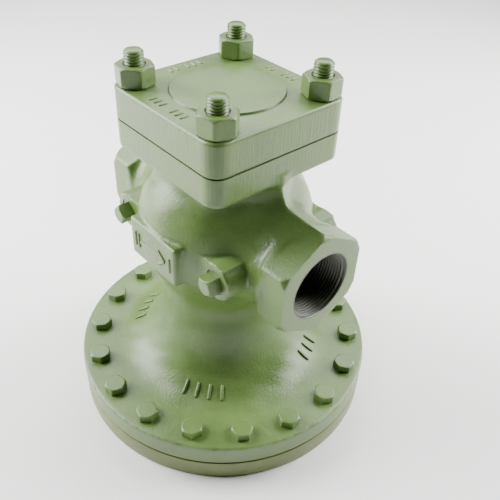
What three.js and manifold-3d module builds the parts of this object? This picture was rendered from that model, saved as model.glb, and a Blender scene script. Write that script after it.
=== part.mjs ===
/*
 * Diaphragm-operated steam pressure regulating valve, 1-1/2 in threaded ends.
 *
 * Millimetres, +Z up. The origin is on the ground under the stem, and the stem
 * lies on +Z. The flow line is along X: the inlet is at -X and the outlet at +X.
 * The side with the name pad and the two pipe plugs faces -Y.
 *
 * A spring under the globe pushes the pressure plate, the stem and the disc down,
 * which closes the valve. Loading pressure under the diaphragm lifts them.
 */
import * as THREE from 'three';
import { mergeVertices } from 'three/addons/utils/BufferGeometryUtils.js';
import Module from 'manifold-3d';

const wasm = await Module();
wasm.setup();

// ---------------------------------------------------------------- driving sizes

const GAP = 0.3; // between a piece and the neighbour it sits in or on
const FACE_GAP = 0.15; // between two flat faces clamped together

const FLANGE = { radius: 115.6, top: 33.6, joint: 17.2, edge: 1.4 };
const SCREWS = { count: 18, circle: 102.4, first: 7.8, acrossFlats: 14.3, head: 6.0, shank: 4.76, tip: 4.5 };
const PLY = { thickness: 0.4, rimRadius: 114.6, dishRadius: 72, bendRadius: 83, dish: 9.5 };

const GLOBE = { radius: 63, z: 148.5 };
const BELL = { neck: 48, shoulder: 88, foot: 88, skirt: 92 };
const WALL = { spring: 36, recess: 79, recessTop: 22.5, chamber: 33, floorLow: 96, floorHigh: 116 };
const BELL_WALL = [[71, 25.5], [58, 33], [47, 44], [40, 58]]; // inside of the bell, from the recess up
const THROAT = { tip: 54.5, half: 45, shoulder: [30, 40] }; // pointed neck under the top flange
const SWEEP = { high: 200, low: 67, root: 6, back: 4.9, width: 12 }; // ridge from throat to port
const SEAT_WALL = { low: 144, high: 158, hole: 20.3 };

const PORT = { face: 95, flats: 68, neck: 36.5, hexStart: 72, chamfer: 37.4, setBack: 3, boreEnd: 56 };
const PASSAGE = { outer: 68, inner: 18, radius: 16.5, inletRise: 30, outletRise: -27 };
const THREAD = { mouth: 23.3, taper: 1 / 32, depth: 28, bore: 21 };

const BOSS = { x: 50, face: 50, radius: 13.5, left: 36, right: 57.5, top: 160.5 };
const PLUG = { flats: 11.1, head: 9, thread: 8.4, depth: 13 };
const PAD = { halfLength: 25.5, low: 134, high: 164, face: 63.6 };

const COVER = { half: 53.7, corner: 10.5, low: 225.05, top: 246.8, disc: 37, discRise: 1.4, hollow: 28 };
const TOP_FLANGE = { low: 204.6, top: 224.0 };
const STUD = { spacing: 40.9, radius: 6.35, top: 268.7, bottom: 209.4, chamfer: 1.2 };
const NUT = { flats: 22.5, height: 12.9, chamfer: 1.1, angles: [36, 28, 45, 11] };
const STUD_HOLE = STUD.radius + 0.9; // clearance in cover, gasket and nut

const LIFT_PARTS = { plateRadius: 68, plateLow: 8.4, plateRim: 5.2, step: 1.4, hub: 16, hubTop: 22 };
const STEM_NUT = { flats: 19, lockHeight: 6, discHeight: 7.5 };
const STEM = { radius: 7, end: 6, bottom: 12.6, lowShoulder: 29.6, highShoulder: 164.3, top: 188 };
const SPRING = { mean: 20, wire: 2.5, turns: 5.5, top: 91.4 };
const DISC = { radius: 20.5, height: 11 };
const SEAT = { bore: 16, lip: 19, flange: 25, flangeTop: 161.5, lipTop: 164.3, low: 146 };
const GUIDE = { radius: 11.7, low: 82, high: 124, collar: 15, collarHeight: 4 };

const ROUND = 48; // facets round the large turned shapes
const THIN = 36; // facets round the plies and the pressure plate
const BORE = 28; // facets round the bores and rings
const SMALL = 16; // facets round the small ones
const HOLE = 8; // facets round a bolt hole or a bolt

const COLOURS = {
  paint: { color: '#8ea37c', roughness: 0.42, metalness: 0.0 },
  gasket: { color: '#4a4c4a', roughness: 0.9, metalness: 0.0 },
  stainless: { color: '#b9bab6', roughness: 0.28, metalness: 1.0 },
  bronze: { color: '#b08a58', roughness: 0.35, metalness: 1.0 },
  springSteel: { color: '#5c5d60', roughness: 0.4, metalness: 1.0 },
};

// ---------------------------------------------------------------- solids helpers

/** Turns a closed three.js geometry into a manifold solid. */
function solid(geometry) {
  const bare = geometry.clone();
  bare.deleteAttribute('normal');
  bare.deleteAttribute('uv');
  const merged = mergeVertices(bare, 1e-4);
  const mesh = new wasm.Mesh({
    numProp: 3,
    vertProperties: new Float32Array(merged.attributes.position.array),
    triVerts: new Uint32Array(merged.index.array),
  });
  return new wasm.Manifold(mesh);
}

/** Turns a manifold solid back into a three.js geometry. */
function toGeometry(body) {
  const mesh = body.getMesh();
  const geometry = new THREE.BufferGeometry();
  geometry.setAttribute('position', new THREE.BufferAttribute(mesh.vertProperties, 3));
  geometry.setIndex(new THREE.BufferAttribute(mesh.triVerts, 1));
  geometry.computeVertexNormals();
  return geometry;
}

/** Joins solids into one. */
function join(...bodies) {
  return bodies.reduce((whole, next) => whole.add(next));
}

/** Cuts every tool out of a solid. */
function cut(body, ...tools) {
  return tools.reduce((rest, tool) => rest.subtract(tool), body);
}

/** Turns a profile of [radius, z] points about +Z. The points go anticlockwise in the (radius, z) plane. */
function turned(points, segments = ROUND) {
  const profile = points.map(([radius, z]) => new THREE.Vector2(radius, z));
  return new THREE.LatheGeometry(profile, segments).rotateX(Math.PI / 2);
}

/** A plain turned ring or disc: inner and outer radius, low and high z. */
function ring(inner, outer, low, high, segments = ROUND) {
  if (inner === 0) {
    return turned([[0, low], [outer, low], [outer, high], [0, high]], segments);
  }
  return turned([[inner, low], [outer, low], [outer, high], [inner, high], [inner, low]], segments);
}

/** A turned disc whose two outer edges are chamfered. */
function chamferedDisc(radius, low, high, chamfer, segments = ROUND) {
  const inner = radius - chamfer;
  return turned([
    [0, low],
    [inner, low],
    [radius, low + chamfer],
    [radius, high - chamfer],
    [inner, high],
    [0, high],
  ], segments);
}

/** Circumscribed radius of a polygon with this many sides and this size across its flats. */
function cornerRadius(acrossFlats, sides = 6) {
  return acrossFlats / 2 / Math.cos(Math.PI / sides);
}

/** An upright cylinder standing at (x, y). */
function post(x, y, radius, low, high, segments = HOLE) {
  return ring(0, radius, low, high, segments).translate(x, y, 0);
}

/** A solid cylinder along X between two x positions, about the flow line. */
function alongX(radiusLow, radiusHigh, xLow, xHigh, segments = BORE) {
  const profile = [[0, xLow], [radiusLow, xLow], [radiusHigh, xHigh], [0, xHigh]];
  return turned(profile, segments).rotateY(Math.PI / 2).translate(0, 0, GLOBE.z);
}

/** A box between two corners. */
function box(xLow, xHigh, yLow, yHigh, zLow, zHigh) {
  const geometry = new THREE.BoxGeometry(xHigh - xLow, yHigh - yLow, zHigh - zLow);
  return geometry.translate((xLow + xHigh) / 2, (yLow + yHigh) / 2, (zLow + zHigh) / 2);
}

/** A square plate with rounded corners. */
function roundedSquare(half, corner, low, high) {
  const shape = new THREE.Shape();
  const inner = half - corner;
  shape.absarc(inner, inner, corner, 0, Math.PI / 2);
  shape.absarc(-inner, inner, corner, Math.PI / 2, Math.PI);
  shape.absarc(-inner, -inner, corner, Math.PI, Math.PI * 1.5);
  shape.absarc(inner, -inner, corner, Math.PI * 1.5, Math.PI * 2);
  const settings = { depth: high - low, bevelEnabled: false, curveSegments: 6 };
  return new THREE.ExtrudeGeometry(shape, settings).translate(0, 0, low);
}

/** The four corners at the same distance from both middle planes. */
function fourCorners(distance) {
  return [[1, 1], [-1, 1], [-1, -1], [1, -1]].map(([x, y]) => [x * distance, y * distance]);
}

/** Angles, in radians, of the screws of the large flange. */
function screwAngles() {
  const step = 360 / SCREWS.count;
  return Array.from({ length: SCREWS.count }, (_, i) => THREE.MathUtils.degToRad(SCREWS.first + i * step));
}

/** One upright hole or post for each screw of the large flange, joined. */
function screwCircle(radius, low, high) {
  const posts = screwAngles().map((angle) => {
    const x = SCREWS.circle * Math.cos(angle);
    const y = SCREWS.circle * Math.sin(angle);
    return solid(post(x, y, radius, low, high));
  });
  return join(...posts);
}

// ---------------------------------------------------------------- levels that follow from the sizes

const PLY_LOW = FLANGE.joint - PLY.thickness - FACE_GAP / 2; // underside of the lower ply at the rim
const CASE_TOP = PLY_LOW - FACE_GAP;
const PLY_HIGH = PLY_LOW + PLY.thickness + FACE_GAP; // underside of the upper ply at the rim
const BODY_FOOT = PLY_HIGH + PLY.thickness + FACE_GAP;
const DISH_FLOOR = PLY_LOW - PLY.dish - GAP;
const SCREW_HOLE = SCREWS.shank + 0.6;
const PLATE_TOP = LIFT_PARTS.plateLow + LIFT_PARTS.plateRim;
const SPRING_FOOT = PLATE_TOP + LIFT_PARTS.step;
const DISC_LOW = STEM.highShoulder + GAP;

// ---------------------------------------------------------------- castings

/** Outside of the bell: a quarter of an ellipse from the neck down to the flange. */
function bellCurve(steps = 7) {
  const rise = BELL.shoulder - FLANGE.top - 1.5;
  const reach = BELL.foot - BELL.neck;
  return Array.from({ length: steps }, (_, i) => {
    const turn = (i / (steps - 1)) * (Math.PI / 2);
    return [BELL.foot - reach * Math.sin(turn), BELL.shoulder - rise * Math.cos(turn)];
  });
}

/** Large flange, bell and neck, turned in one profile. */
function bellSolid() {
  return solid(turned([
    [0, BODY_FOOT],
    [FLANGE.radius, BODY_FOOT],
    [FLANGE.radius, FLANGE.top - FLANGE.edge],
    [FLANGE.radius - FLANGE.edge, FLANGE.top],
    [BELL.skirt, FLANGE.top],
    ...bellCurve(),
    [BELL.neck, GLOBE.z],
    [0, GLOBE.z],
  ]));
}

/** Hexagonal end of one port, its outer corners turned back. */
function hexEnd(side) {
  const hexagon = ring(0, cornerRadius(PORT.flats), PORT.hexStart - 8, PORT.face, 6);
  const chamfer = turned([
    [0, PORT.hexStart - 9],
    [PORT.neck - 5, PORT.hexStart - 9],
    [PORT.neck + 4, PORT.hexStart],
    [PORT.neck + 4, PORT.face - PORT.setBack],
    [PORT.chamfer, PORT.face],
    [0, PORT.face],
  ], BORE);
  const end = solid(hexagon).intersect(solid(chamfer));
  return end.rotate([0, side * 90, 0]).translate([0, 0, GLOBE.z]);
}

/** Pointed neck under the top flange, ridges along the flow line and the sweep between them. */
function prow() {
  const { tip, half, shoulder: [x, y] } = THROAT;
  const outline = [[tip, 0], [x, y], [0, half], [-x, y], [-tip, 0], [-x, -y], [0, -half], [x, -y]];
  const shape = new THREE.Shape(outline.map(([u, v]) => new THREE.Vector2(u, v)));
  const depth = TOP_FLANGE.low + 1 - GLOBE.z;
  const throat = new THREE.ExtrudeGeometry(shape, { depth, bevelEnabled: false }).translate(0, 0, GLOBE.z);
  const ridge = ring(0, cornerRadius(PORT.flats), -PORT.hexStart, PORT.hexStart, 6).rotateY(Math.PI / 2);
  const upper = box(-PORT.hexStart, PORT.hexStart, -PORT.flats, PORT.flats, 0, PORT.flats);
  const ridges = solid(ridge).intersect(solid(upper)).translate([0, 0, GLOBE.z]);
  const crest = GLOBE.z + cornerRadius(PORT.flats);
  const sweeps = [-1, 1].map((side) => wasm.Manifold.hull([
    [side * tip, 0, SWEEP.high],
    [side * SWEEP.low, 0, crest],
    [side * (tip - SWEEP.root), 0, crest - SWEEP.root],
    ...[-1, 1].flatMap((across) => [
      [side * (tip - SWEEP.back), across * SWEEP.width, SWEEP.high - SWEEP.back],
      [side * (SWEEP.low - SWEEP.back), across * SWEEP.width, crest - SWEEP.back],
    ]),
  ]));
  return join(solid(throat), ridges, ...sweeps);
}

/** Side boss for a pilot line: a round pad under a short flat ledge. */
function pilotBoss(xSide, ySide) {
  const pad = ring(0, BOSS.radius, 0, BOSS.face, SMALL).rotateX(-ySide * Math.PI / 2);
  const xs = [xSide * BOSS.left, xSide * BOSS.right].sort((a, b) => a - b);
  const ys = [0, ySide * BOSS.face].sort((a, b) => a - b);
  const ledge = box(xs[0], xs[1], ys[0], ys[1], GLOBE.z, BOSS.top);
  return solid(pad.translate(xSide * BOSS.x, 0, GLOBE.z)).add(solid(ledge));
}

/** Slanting passage between a port and the chamber over or under the seat. */
function passage(side, rise) {
  const from = new THREE.Vector3(side * PASSAGE.outer, 0, GLOBE.z);
  const to = new THREE.Vector3(side * PASSAGE.inner, 0, GLOBE.z + rise);
  const direction = to.clone().sub(from);
  const tube = ring(0, PASSAGE.radius, 0, direction.length(), SMALL);
  const upright = new THREE.Vector3(0, 0, 1);
  const turn = new THREE.Quaternion().setFromUnitVectors(upright, direction.normalize());
  return solid(tube.applyQuaternion(turn).translate(from.x, from.y, from.z));
}

/** Threaded socket and the straight bore behind it. */
function portBore(side) {
  const inner = PORT.face - THREAD.depth;
  const bottom = THREAD.mouth - THREAD.depth * THREAD.taper;
  const socket = side > 0
    ? alongX(bottom, THREAD.mouth, inner, PORT.face + 1)
    : alongX(THREAD.mouth, bottom, -PORT.face - 1, -inner);
  const ends = side > 0 ? [PORT.boreEnd, inner + 1] : [-inner - 1, -PORT.boreEnd];
  return solid(socket).add(solid(alongX(THREAD.bore, THREAD.bore, ends[0], ends[1])));
}

/** Everything that is hollow in the body casting. */
function bodyHollows() {
  const below = solid(turned([
    [0, BODY_FOOT - 1],
    [WALL.recess, BODY_FOOT - 1],
    [WALL.recess, WALL.recessTop],
    ...BELL_WALL,
    [WALL.spring, 76],
    [WALL.spring, WALL.floorLow],
    [0, WALL.floorLow],
  ]));
  const guideHole = solid(ring(0, GUIDE.radius + GAP, WALL.floorLow - 1, WALL.floorHigh + 1, SMALL));
  const underSeat = solid(ring(0, WALL.chamber, WALL.floorHigh, SEAT_WALL.low, BORE));
  const seatHole = solid(ring(0, SEAT_WALL.hole, SEAT_WALL.low - 1, SEAT_WALL.high + 1, BORE));
  const overSeat = solid(ring(0, WALL.chamber, SEAT_WALL.high, TOP_FLANGE.top + 1, BORE));
  const ports = [portBore(-1), portBore(1)];
  const passages = [passage(-1, PASSAGE.inletRise), passage(1, PASSAGE.outletRise)];
  return [below, guideHole, underSeat, seatHole, overSeat, ...ports, ...passages];
}

/** Tapped hole of one pilot plug. */
function plugHole(side) {
  const hole = ring(0, PLUG.thread + GAP, 0, PLUG.depth + 1.5, SMALL).rotateX(-Math.PI / 2);
  return solid(hole.translate(side * BOSS.x, -BOSS.face - 1, GLOBE.z));
}

/** Body casting: globe, top flange, hexagonal ends, bosses, name pad, bell and large flange. */
function bodyCasting() {
  const ball = new THREE.SphereGeometry(GLOBE.radius, 28, 16).rotateX(Math.PI / 2);
  const globe = solid(ball.translate(0, 0, GLOBE.z));
  const topFlange = solid(roundedSquare(COVER.half, COVER.corner, TOP_FLANGE.low, TOP_FLANGE.top));
  const flowNeck = solid(alongX(PORT.neck, PORT.neck, -PORT.hexStart, PORT.hexStart));
  const namePad = solid(box(-PAD.halfLength, PAD.halfLength, -PAD.face, -40, PAD.low, PAD.high));
  const outside = join(bellSolid(), globe, prow(), topFlange, flowNeck, namePad, hexEnd(-1), hexEnd(1),
    pilotBoss(-1, -1), pilotBoss(1, -1), pilotBoss(-1, 1), pilotBoss(1, 1));
  const studHoles = fourCorners(STUD.spacing).map(([x, y]) => (
    solid(post(x, y, STUD.radius + 0.55, STUD.bottom - GAP, TOP_FLANGE.top + 1))
  ));
  const screwHoles = screwCircle(SCREW_HOLE, BODY_FOOT - 1, FLANGE.top + 8);
  return toGeometry(cut(outside, ...bodyHollows(), ...studHoles, screwHoles, plugHole(-1), plugHole(1)));
}

/** Round lower case: a flat dish that lets the diaphragm rest when the valve is shut. */
function lowerCase() {
  const outside = solid(turned([
    [0, 0],
    [FLANGE.radius - FLANGE.edge, 0],
    [FLANGE.radius, FLANGE.edge],
    [FLANGE.radius, CASE_TOP],
    [0, CASE_TOP],
  ]));
  const dish = solid(turned([
    [0, DISH_FLOOR],
    [PLY.dishRadius, DISH_FLOOR],
    [PLY.bendRadius + 0.5, CASE_TOP],
    [PLY.bendRadius + 0.5, CASE_TOP + 1],
    [0, CASE_TOP + 1],
  ]));
  const loadingPort = solid(ring(0, 7, -1, DISH_FLOOR + 1, SMALL));
  const screwHoles = screwCircle(SCREW_HOLE, SCREWS.tip - 1, CASE_TOP + 1);
  return toGeometry(cut(outside, dish, loadingPort, screwHoles));
}

/** Square cover with a low round pad on top and a shallow hollow underneath. */
function coverPlate() {
  const plate = solid(roundedSquare(COVER.half, COVER.corner, COVER.low, COVER.top));
  const padLow = COVER.top - 1;
  const padTop = COVER.top + COVER.discRise;
  const pad = solid(turned([[0, padLow], [COVER.disc, padLow], [COVER.disc - 1.4, padTop], [0, padTop]]));
  const hollow = solid(ring(0, COVER.hollow, COVER.low - 1, COVER.low + 9, BORE));
  const holes = fourCorners(STUD.spacing).map(([x, y]) => (
    solid(post(x, y, STUD_HOLE, COVER.low - 1, COVER.top + 2))
  ));
  return toGeometry(cut(plate.add(pad), hollow, ...holes));
}

// ---------------------------------------------------------------- fasteners and seals

/** Gasket between body and cover. */
function coverGasket() {
  const low = TOP_FLANGE.top + FACE_GAP;
  const high = COVER.low - FACE_GAP;
  const sheet = solid(roundedSquare(COVER.half - 0.8, COVER.corner, low, high));
  const bore = solid(ring(0, WALL.chamber + 1, low - 1, high + 1, BORE));
  const holes = fourCorners(STUD.spacing).map(([x, y]) => (
    solid(post(x, y, STUD_HOLE, low - 1, high + 1))
  ));
  return toGeometry(cut(sheet, bore, ...holes));
}

/** Cover stud, chamfered at both ends, about its own axis. */
function coverStud() {
  return chamferedDisc(STUD.radius, STUD.bottom, STUD.top, STUD.chamfer, HOLE);
}

/** Hexagon nut standing on the cover, about its own axis. */
function coverNut() {
  const low = COVER.top + GAP;
  const high = low + NUT.height;
  const blank = solid(chamferedDisc(cornerRadius(NUT.flats), low, high, NUT.chamfer, 6));
  return toGeometry(cut(blank, solid(ring(0, STUD_HOLE, low - 1, high + 1, HOLE))));
}

/** Hexagon head cap screw of the large flange, about its own axis. */
function caseScrew() {
  const low = FLANGE.top + GAP;
  const corner = cornerRadius(SCREWS.acrossFlats);
  const head = turned([
    [0, low],
    [corner, low],
    [corner, low + SCREWS.head - 0.9],
    [corner - 1.3, low + SCREWS.head],
    [0, low + SCREWS.head],
  ], 6);
  const shank = ring(0, SCREWS.shank, SCREWS.tip, low + 1, HOLE);
  return toGeometry(solid(head).add(solid(shank)));
}

/** Square-head pipe plug pointing to -Y, about the pilot tap's axis. */
function pipePlug() {
  const diagonal = cornerRadius(PLUG.flats, 4);
  const head = turned([
    [0, -1],
    [diagonal, -1],
    [diagonal, PLUG.head - 0.7],
    [diagonal - 1, PLUG.head],
    [0, PLUG.head],
  ], 4);
  const thread = ring(0, PLUG.thread, -PLUG.depth, 0, SMALL);
  const plug = toGeometry(solid(head).add(solid(thread)));
  return plug.rotateX(Math.PI / 2).rotateY(0.1);
}

// ---------------------------------------------------------------- inner pieces

/** One thin diaphragm ply, dished down to its resting shape. */
function diaphragmPly(low) {
  const high = low + PLY.thickness;
  const sheet = solid(turned([
    [0, low - PLY.dish],
    [PLY.dishRadius - 1, low - PLY.dish],
    [PLY.bendRadius, low],
    [PLY.rimRadius, low],
    [PLY.rimRadius, high],
    [PLY.bendRadius, high],
    [PLY.dishRadius - 1, high - PLY.dish],
    [0, high - PLY.dish],
  ], THIN));
  return toGeometry(cut(sheet, screwCircle(SCREW_HOLE, low - 1, high + 1)));
}

/** Pressure plate that carries the diaphragm's push to the stem. */
function pressurePlate() {
  const low = LIFT_PARTS.plateLow;
  const stemHole = STEM.end + GAP;
  return turned([
    [0, low],
    [LIFT_PARTS.plateRadius - 1, low],
    [LIFT_PARTS.plateRadius, low + 1],
    [LIFT_PARTS.plateRadius, PLATE_TOP],
    [LIFT_PARTS.hub + 12, SPRING_FOOT],
    [LIFT_PARTS.hub, SPRING_FOOT],
    [LIFT_PARTS.hub, LIFT_PARTS.hubTop],
    [stemHole, LIFT_PARTS.hubTop],
    [stemHole, STEM.bottom - GAP],
    [0, STEM.bottom - GAP],
  ], THIN);
}

/** Stem, with a smaller threaded end at each shoulder. */
function valveStem() {
  return turned([
    [0, STEM.bottom],
    [STEM.end, STEM.bottom],
    [STEM.end, STEM.lowShoulder],
    [STEM.radius, STEM.lowShoulder + 1],
    [STEM.radius, STEM.highShoulder],
    [STEM.end, STEM.highShoulder],
    [STEM.end, STEM.top - 1],
    [STEM.end - 1, STEM.top],
    [0, STEM.top],
  ], SMALL);
}

/** Thin hexagon nut on the stem, above a given level. */
function stemNut(low, height) {
  const high = low + height;
  const blank = solid(chamferedDisc(cornerRadius(STEM_NUT.flats), low, high, 0.8, 6));
  return toGeometry(cut(blank, solid(ring(0, STEM.end + GAP, low - 1, high + 1, SMALL))));
}

/** Bushing that guides the stem through the floor of the globe. */
function stemGuide() {
  const bore = STEM.radius + GAP;
  const collarLow = WALL.floorHigh + GAP;
  return turned([
    [bore, GUIDE.low],
    [GUIDE.radius, GUIDE.low],
    [GUIDE.radius, collarLow],
    [GUIDE.collar, collarLow],
    [GUIDE.collar, collarLow + GUIDE.collarHeight],
    [GUIDE.radius - 1, GUIDE.high],
    [bore, GUIDE.high],
    [bore, GUIDE.low],
  ], SMALL);
}

/** Washer that the top of the spring bears on. */
function springSeat() {
  return ring(GUIDE.radius + GAP, SPRING.mean + 5, SPRING.top + GAP, WALL.floorLow - GAP, BORE);
}

/** Helix of the spring wire, with its end turns closed up. */
class SpringCurve extends THREE.Curve {
  constructor(low, high, turns, radius) {
    super();
    Object.assign(this, { low, high, turns, radius });
  }

  getPoint(t, target = new THREE.Vector3()) {
    const angle = t * this.turns * 2 * Math.PI;
    const eased = t - Math.sin(2 * Math.PI * t) / (2 * Math.PI) * 0.55;
    const z = this.low + (this.high - this.low) * eased;
    return target.set(this.radius * Math.cos(angle), this.radius * Math.sin(angle), z);
  }
}

/** Compression spring round the stem, between pressure plate and spring seat. */
function mainSpring() {
  const low = SPRING_FOOT + SPRING.wire + GAP;
  const high = SPRING.top - SPRING.wire - GAP;
  const path = new SpringCurve(low, high, SPRING.turns, SPRING.mean);
  const section = new THREE.Shape();
  section.absarc(0, 0, SPRING.wire, 0, Math.PI * 2);
  const steps = Math.round(SPRING.turns * 14);
  const settings = { steps, extrudePath: path, curveSegments: 3, bevelEnabled: false };
  return new THREE.ExtrudeGeometry(section, settings);
}

/** Seat ring screwed into the wall between the two chambers. */
function seatRing() {
  const flangeLow = SEAT_WALL.high + GAP;
  const shank = SEAT_WALL.hole - GAP - 0.1;
  return turned([
    [SEAT.bore, SEAT.low],
    [shank, SEAT.low],
    [shank, flangeLow],
    [SEAT.flange, flangeLow],
    [SEAT.flange, SEAT.flangeTop],
    [SEAT.lip, SEAT.flangeTop],
    [SEAT.lip - 1, SEAT.lipTop],
    [SEAT.bore, SEAT.lipTop],
    [SEAT.bore, SEAT.low],
  ], BORE);
}

/** Disc that closes down on the seat ring. */
function valveDisc() {
  const hole = STEM.end + GAP;
  const high = DISC_LOW + DISC.height;
  return turned([
    [hole, DISC_LOW],
    [DISC.radius, DISC_LOW],
    [DISC.radius, high - 4],
    [DISC.radius - 7, high],
    [hole, high],
    [hole, DISC_LOW],
  ], BORE);
}

// ---------------------------------------------------------------- assembly

/** Puts a named, coloured mesh into a group. */
function place(group, name, geometry, colour) {
  const mesh = new THREE.Mesh(geometry, new THREE.MeshStandardMaterial(COLOURS[colour]));
  mesh.name = name;
  group.add(mesh);
  return mesh;
}

/** The four studs and nuts of the cover, each nut left at its own angle. */
function placeCoverFasteners(group) {
  const stud = coverStud();
  const nut = coverNut();
  fourCorners(STUD.spacing).forEach(([x, y], i) => {
    place(group, `cover_stud_${i + 1}`, stud.clone(), 'paint').position.set(x, y, 0);
    const piece = place(group, `cover_nut_${i + 1}`, nut.clone(), 'paint');
    piece.position.set(x, y, 0);
    piece.rotation.z = THREE.MathUtils.degToRad(NUT.angles[i]);
  });
}

/** The cap screws of the large flange, each left at its own angle. */
function placeCaseScrews(group) {
  const screw = caseScrew();
  screwAngles().forEach((angle, i) => {
    const piece = place(group, `case_screw_${String(i + 1).padStart(2, '0')}`, screw.clone(), 'paint');
    piece.position.set(SCREWS.circle * Math.cos(angle), SCREWS.circle * Math.sin(angle), 0);
    piece.rotation.z = (i * 2.4) % (Math.PI / 3);
  });
}

/** The two pipe plugs in the pilot taps. */
function placePlugs(group) {
  const plug = pipePlug();
  place(group, 'plug_inlet', plug.clone(), 'paint').position.set(-BOSS.x, -BOSS.face, GLOBE.z);
  place(group, 'plug_outlet', plug.clone(), 'paint').position.set(BOSS.x, -BOSS.face, GLOBE.z);
}

/** The pieces that the spring and the diaphragm move up and down. */
function placeLiftingPieces(group) {
  place(group, 'pressure_plate', pressurePlate(), 'stainless');
  place(group, 'valve_stem', valveStem(), 'stainless');
  place(group, 'stem_lock_nut', stemNut(LIFT_PARTS.hubTop + GAP, STEM_NUT.lockHeight), 'stainless');
  place(group, 'valve_disc', valveDisc(), 'stainless');
  const discTop = DISC_LOW + DISC.height;
  place(group, 'disc_nut', stemNut(discTop + GAP, STEM_NUT.discHeight), 'stainless');
}

/** The inner pieces that stay with the body. */
function placeInnerPieces(group) {
  place(group, 'diaphragm_lower', diaphragmPly(PLY_LOW), 'bronze');
  place(group, 'diaphragm_upper', diaphragmPly(PLY_HIGH), 'bronze');
  place(group, 'stem_guide', stemGuide(), 'bronze');
  place(group, 'spring_seat', springSeat(), 'stainless');
  place(group, 'main_spring', mainSpring(), 'springSteel');
  place(group, 'seat_ring', seatRing(), 'stainless');
}

const valve = new THREE.Group();
place(valve, 'body_casting', bodyCasting(), 'paint');
place(valve, 'lower_diaphragm_case', lowerCase(), 'paint');
place(valve, 'cover', coverPlate(), 'paint');
place(valve, 'cover_gasket', coverGasket(), 'gasket');
placeCoverFasteners(valve);
placeCaseScrews(valve);
placePlugs(valve);
placeLiftingPieces(valve);
placeInnerPieces(valve);
valve.updateMatrixWorld(true);

export default valve;
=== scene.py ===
"""Finished look of a diaphragm-operated steam pressure regulating valve.

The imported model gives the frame: every piece here stands in the same place, in
metres, as the solid it replaces. Castings, fasteners and inner pieces are rebuilt
as fine surfaces worked out with numpy, and each finish is a procedural material.

Sizes in the classes are in millimetres, as on a drawing, and become metres when a
mesh is made. The stem lies on +Z, the flow line is along X, and the name pad and
the pipe plugs face -Y.
"""

import logging
import math
from dataclasses import dataclass, field
from enum import Enum
from typing import Callable, Sequence

import bpy
import numpy as np
from mathutils import Matrix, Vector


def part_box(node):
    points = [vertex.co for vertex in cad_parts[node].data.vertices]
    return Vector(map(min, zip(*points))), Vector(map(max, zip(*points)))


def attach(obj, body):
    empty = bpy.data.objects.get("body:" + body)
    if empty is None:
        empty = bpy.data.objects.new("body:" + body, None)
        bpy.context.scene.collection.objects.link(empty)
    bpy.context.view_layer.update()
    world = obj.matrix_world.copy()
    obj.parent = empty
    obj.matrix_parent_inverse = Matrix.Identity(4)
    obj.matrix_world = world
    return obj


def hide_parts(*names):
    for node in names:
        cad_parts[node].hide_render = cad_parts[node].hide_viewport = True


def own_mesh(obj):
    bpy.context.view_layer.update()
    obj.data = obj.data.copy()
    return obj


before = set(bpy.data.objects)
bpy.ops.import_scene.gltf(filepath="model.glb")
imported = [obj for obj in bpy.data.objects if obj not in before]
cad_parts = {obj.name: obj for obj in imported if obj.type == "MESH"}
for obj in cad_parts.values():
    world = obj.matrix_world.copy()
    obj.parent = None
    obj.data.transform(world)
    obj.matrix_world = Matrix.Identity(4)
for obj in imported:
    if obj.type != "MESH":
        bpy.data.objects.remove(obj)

LOG = logging.getLogger("steam_valve")
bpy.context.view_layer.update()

MM = 0.001

# Sizes that more than one class needs, in millimetres and degrees.
FLOW_Z = 148.5
PORT_FACE = 95.0
SCREW_CIRCLE = 102.4
SCREW_FIRST = 7.8
SCREW_STEP = 20.0
COVER_TOP = 246.8
BELL_CENTRE = (88.0, 88.0)
BELL_REACH = (40.0, 54.4)

Profile = list[tuple[float, float]]
Field = Callable[[np.ndarray, np.ndarray, np.ndarray], np.ndarray]


class Moves(Enum):
    """The two bodies of the valve."""

    BODY = "body"
    LIFT = "lift"


class Slot(Enum):
    """The record's material slots."""

    CASTING = "painted_casting"
    FASTENER = "painted_fastener"
    GASKET = "gasket_sheet"
    STAINLESS = "stainless_steel"
    BRONZE = "phosphor_bronze"
    SPRING = "spring_steel"


# ---------------------------------------------------------------- sizes from the frame


def span(node: str) -> tuple[np.ndarray, np.ndarray]:
    """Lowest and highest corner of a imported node, in millimetres.

    Args:
        node: name of the node.

    Returns:
        The two corners as arrays of x, y and z.
    """
    low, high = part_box(node)
    return np.array(low) / MM, np.array(high) / MM


def middle(node: str) -> np.ndarray:
    """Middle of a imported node's box, in millimetres."""
    low, high = span(node)
    return (low + high) / 2


# ---------------------------------------------------------------- meshes


def new_object(name: str, points: np.ndarray, faces: np.ndarray,
               smooth_angle: float = 35.0) -> bpy.types.Object:
    """Makes a mesh object from points in millimetres and four-sided faces.

    Args:
        name: name of the piece.
        points: array of shape (n, 3), in millimetres.
        faces: array of shape (m, 4) of point numbers. A repeated number makes a triangle.
        smooth_angle: faces meeting at more than this many degrees keep a crisp edge.

    Returns:
        The object, at the origin, with its place in its mesh.
    """
    kept = faces != np.roll(faces, 1, axis=1)
    total = kept.sum(axis=1).astype(np.int32)
    mesh = bpy.data.meshes.new(name)
    mesh.vertices.add(len(points))
    mesh.vertices.foreach_set("co", np.ascontiguousarray(points * MM, np.float32).ravel())
    mesh.loops.add(int(total.sum()))
    mesh.loops.foreach_set("vertex_index", faces[kept].astype(np.int32))
    mesh.polygons.add(len(faces))
    mesh.polygons.foreach_set("loop_start", np.concatenate([[0], np.cumsum(total)[:-1]]).astype(np.int32))
    mesh.polygons.foreach_set("loop_total", total)
    mesh.update(calc_edges=True)
    mesh.polygons.foreach_set("use_smooth", np.ones(len(faces), bool))
    mesh.set_sharp_from_angle(angle=math.radians(smooth_angle))
    obj = bpy.data.objects.new(name, mesh)
    bpy.context.scene.collection.objects.link(obj)
    return obj


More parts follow.
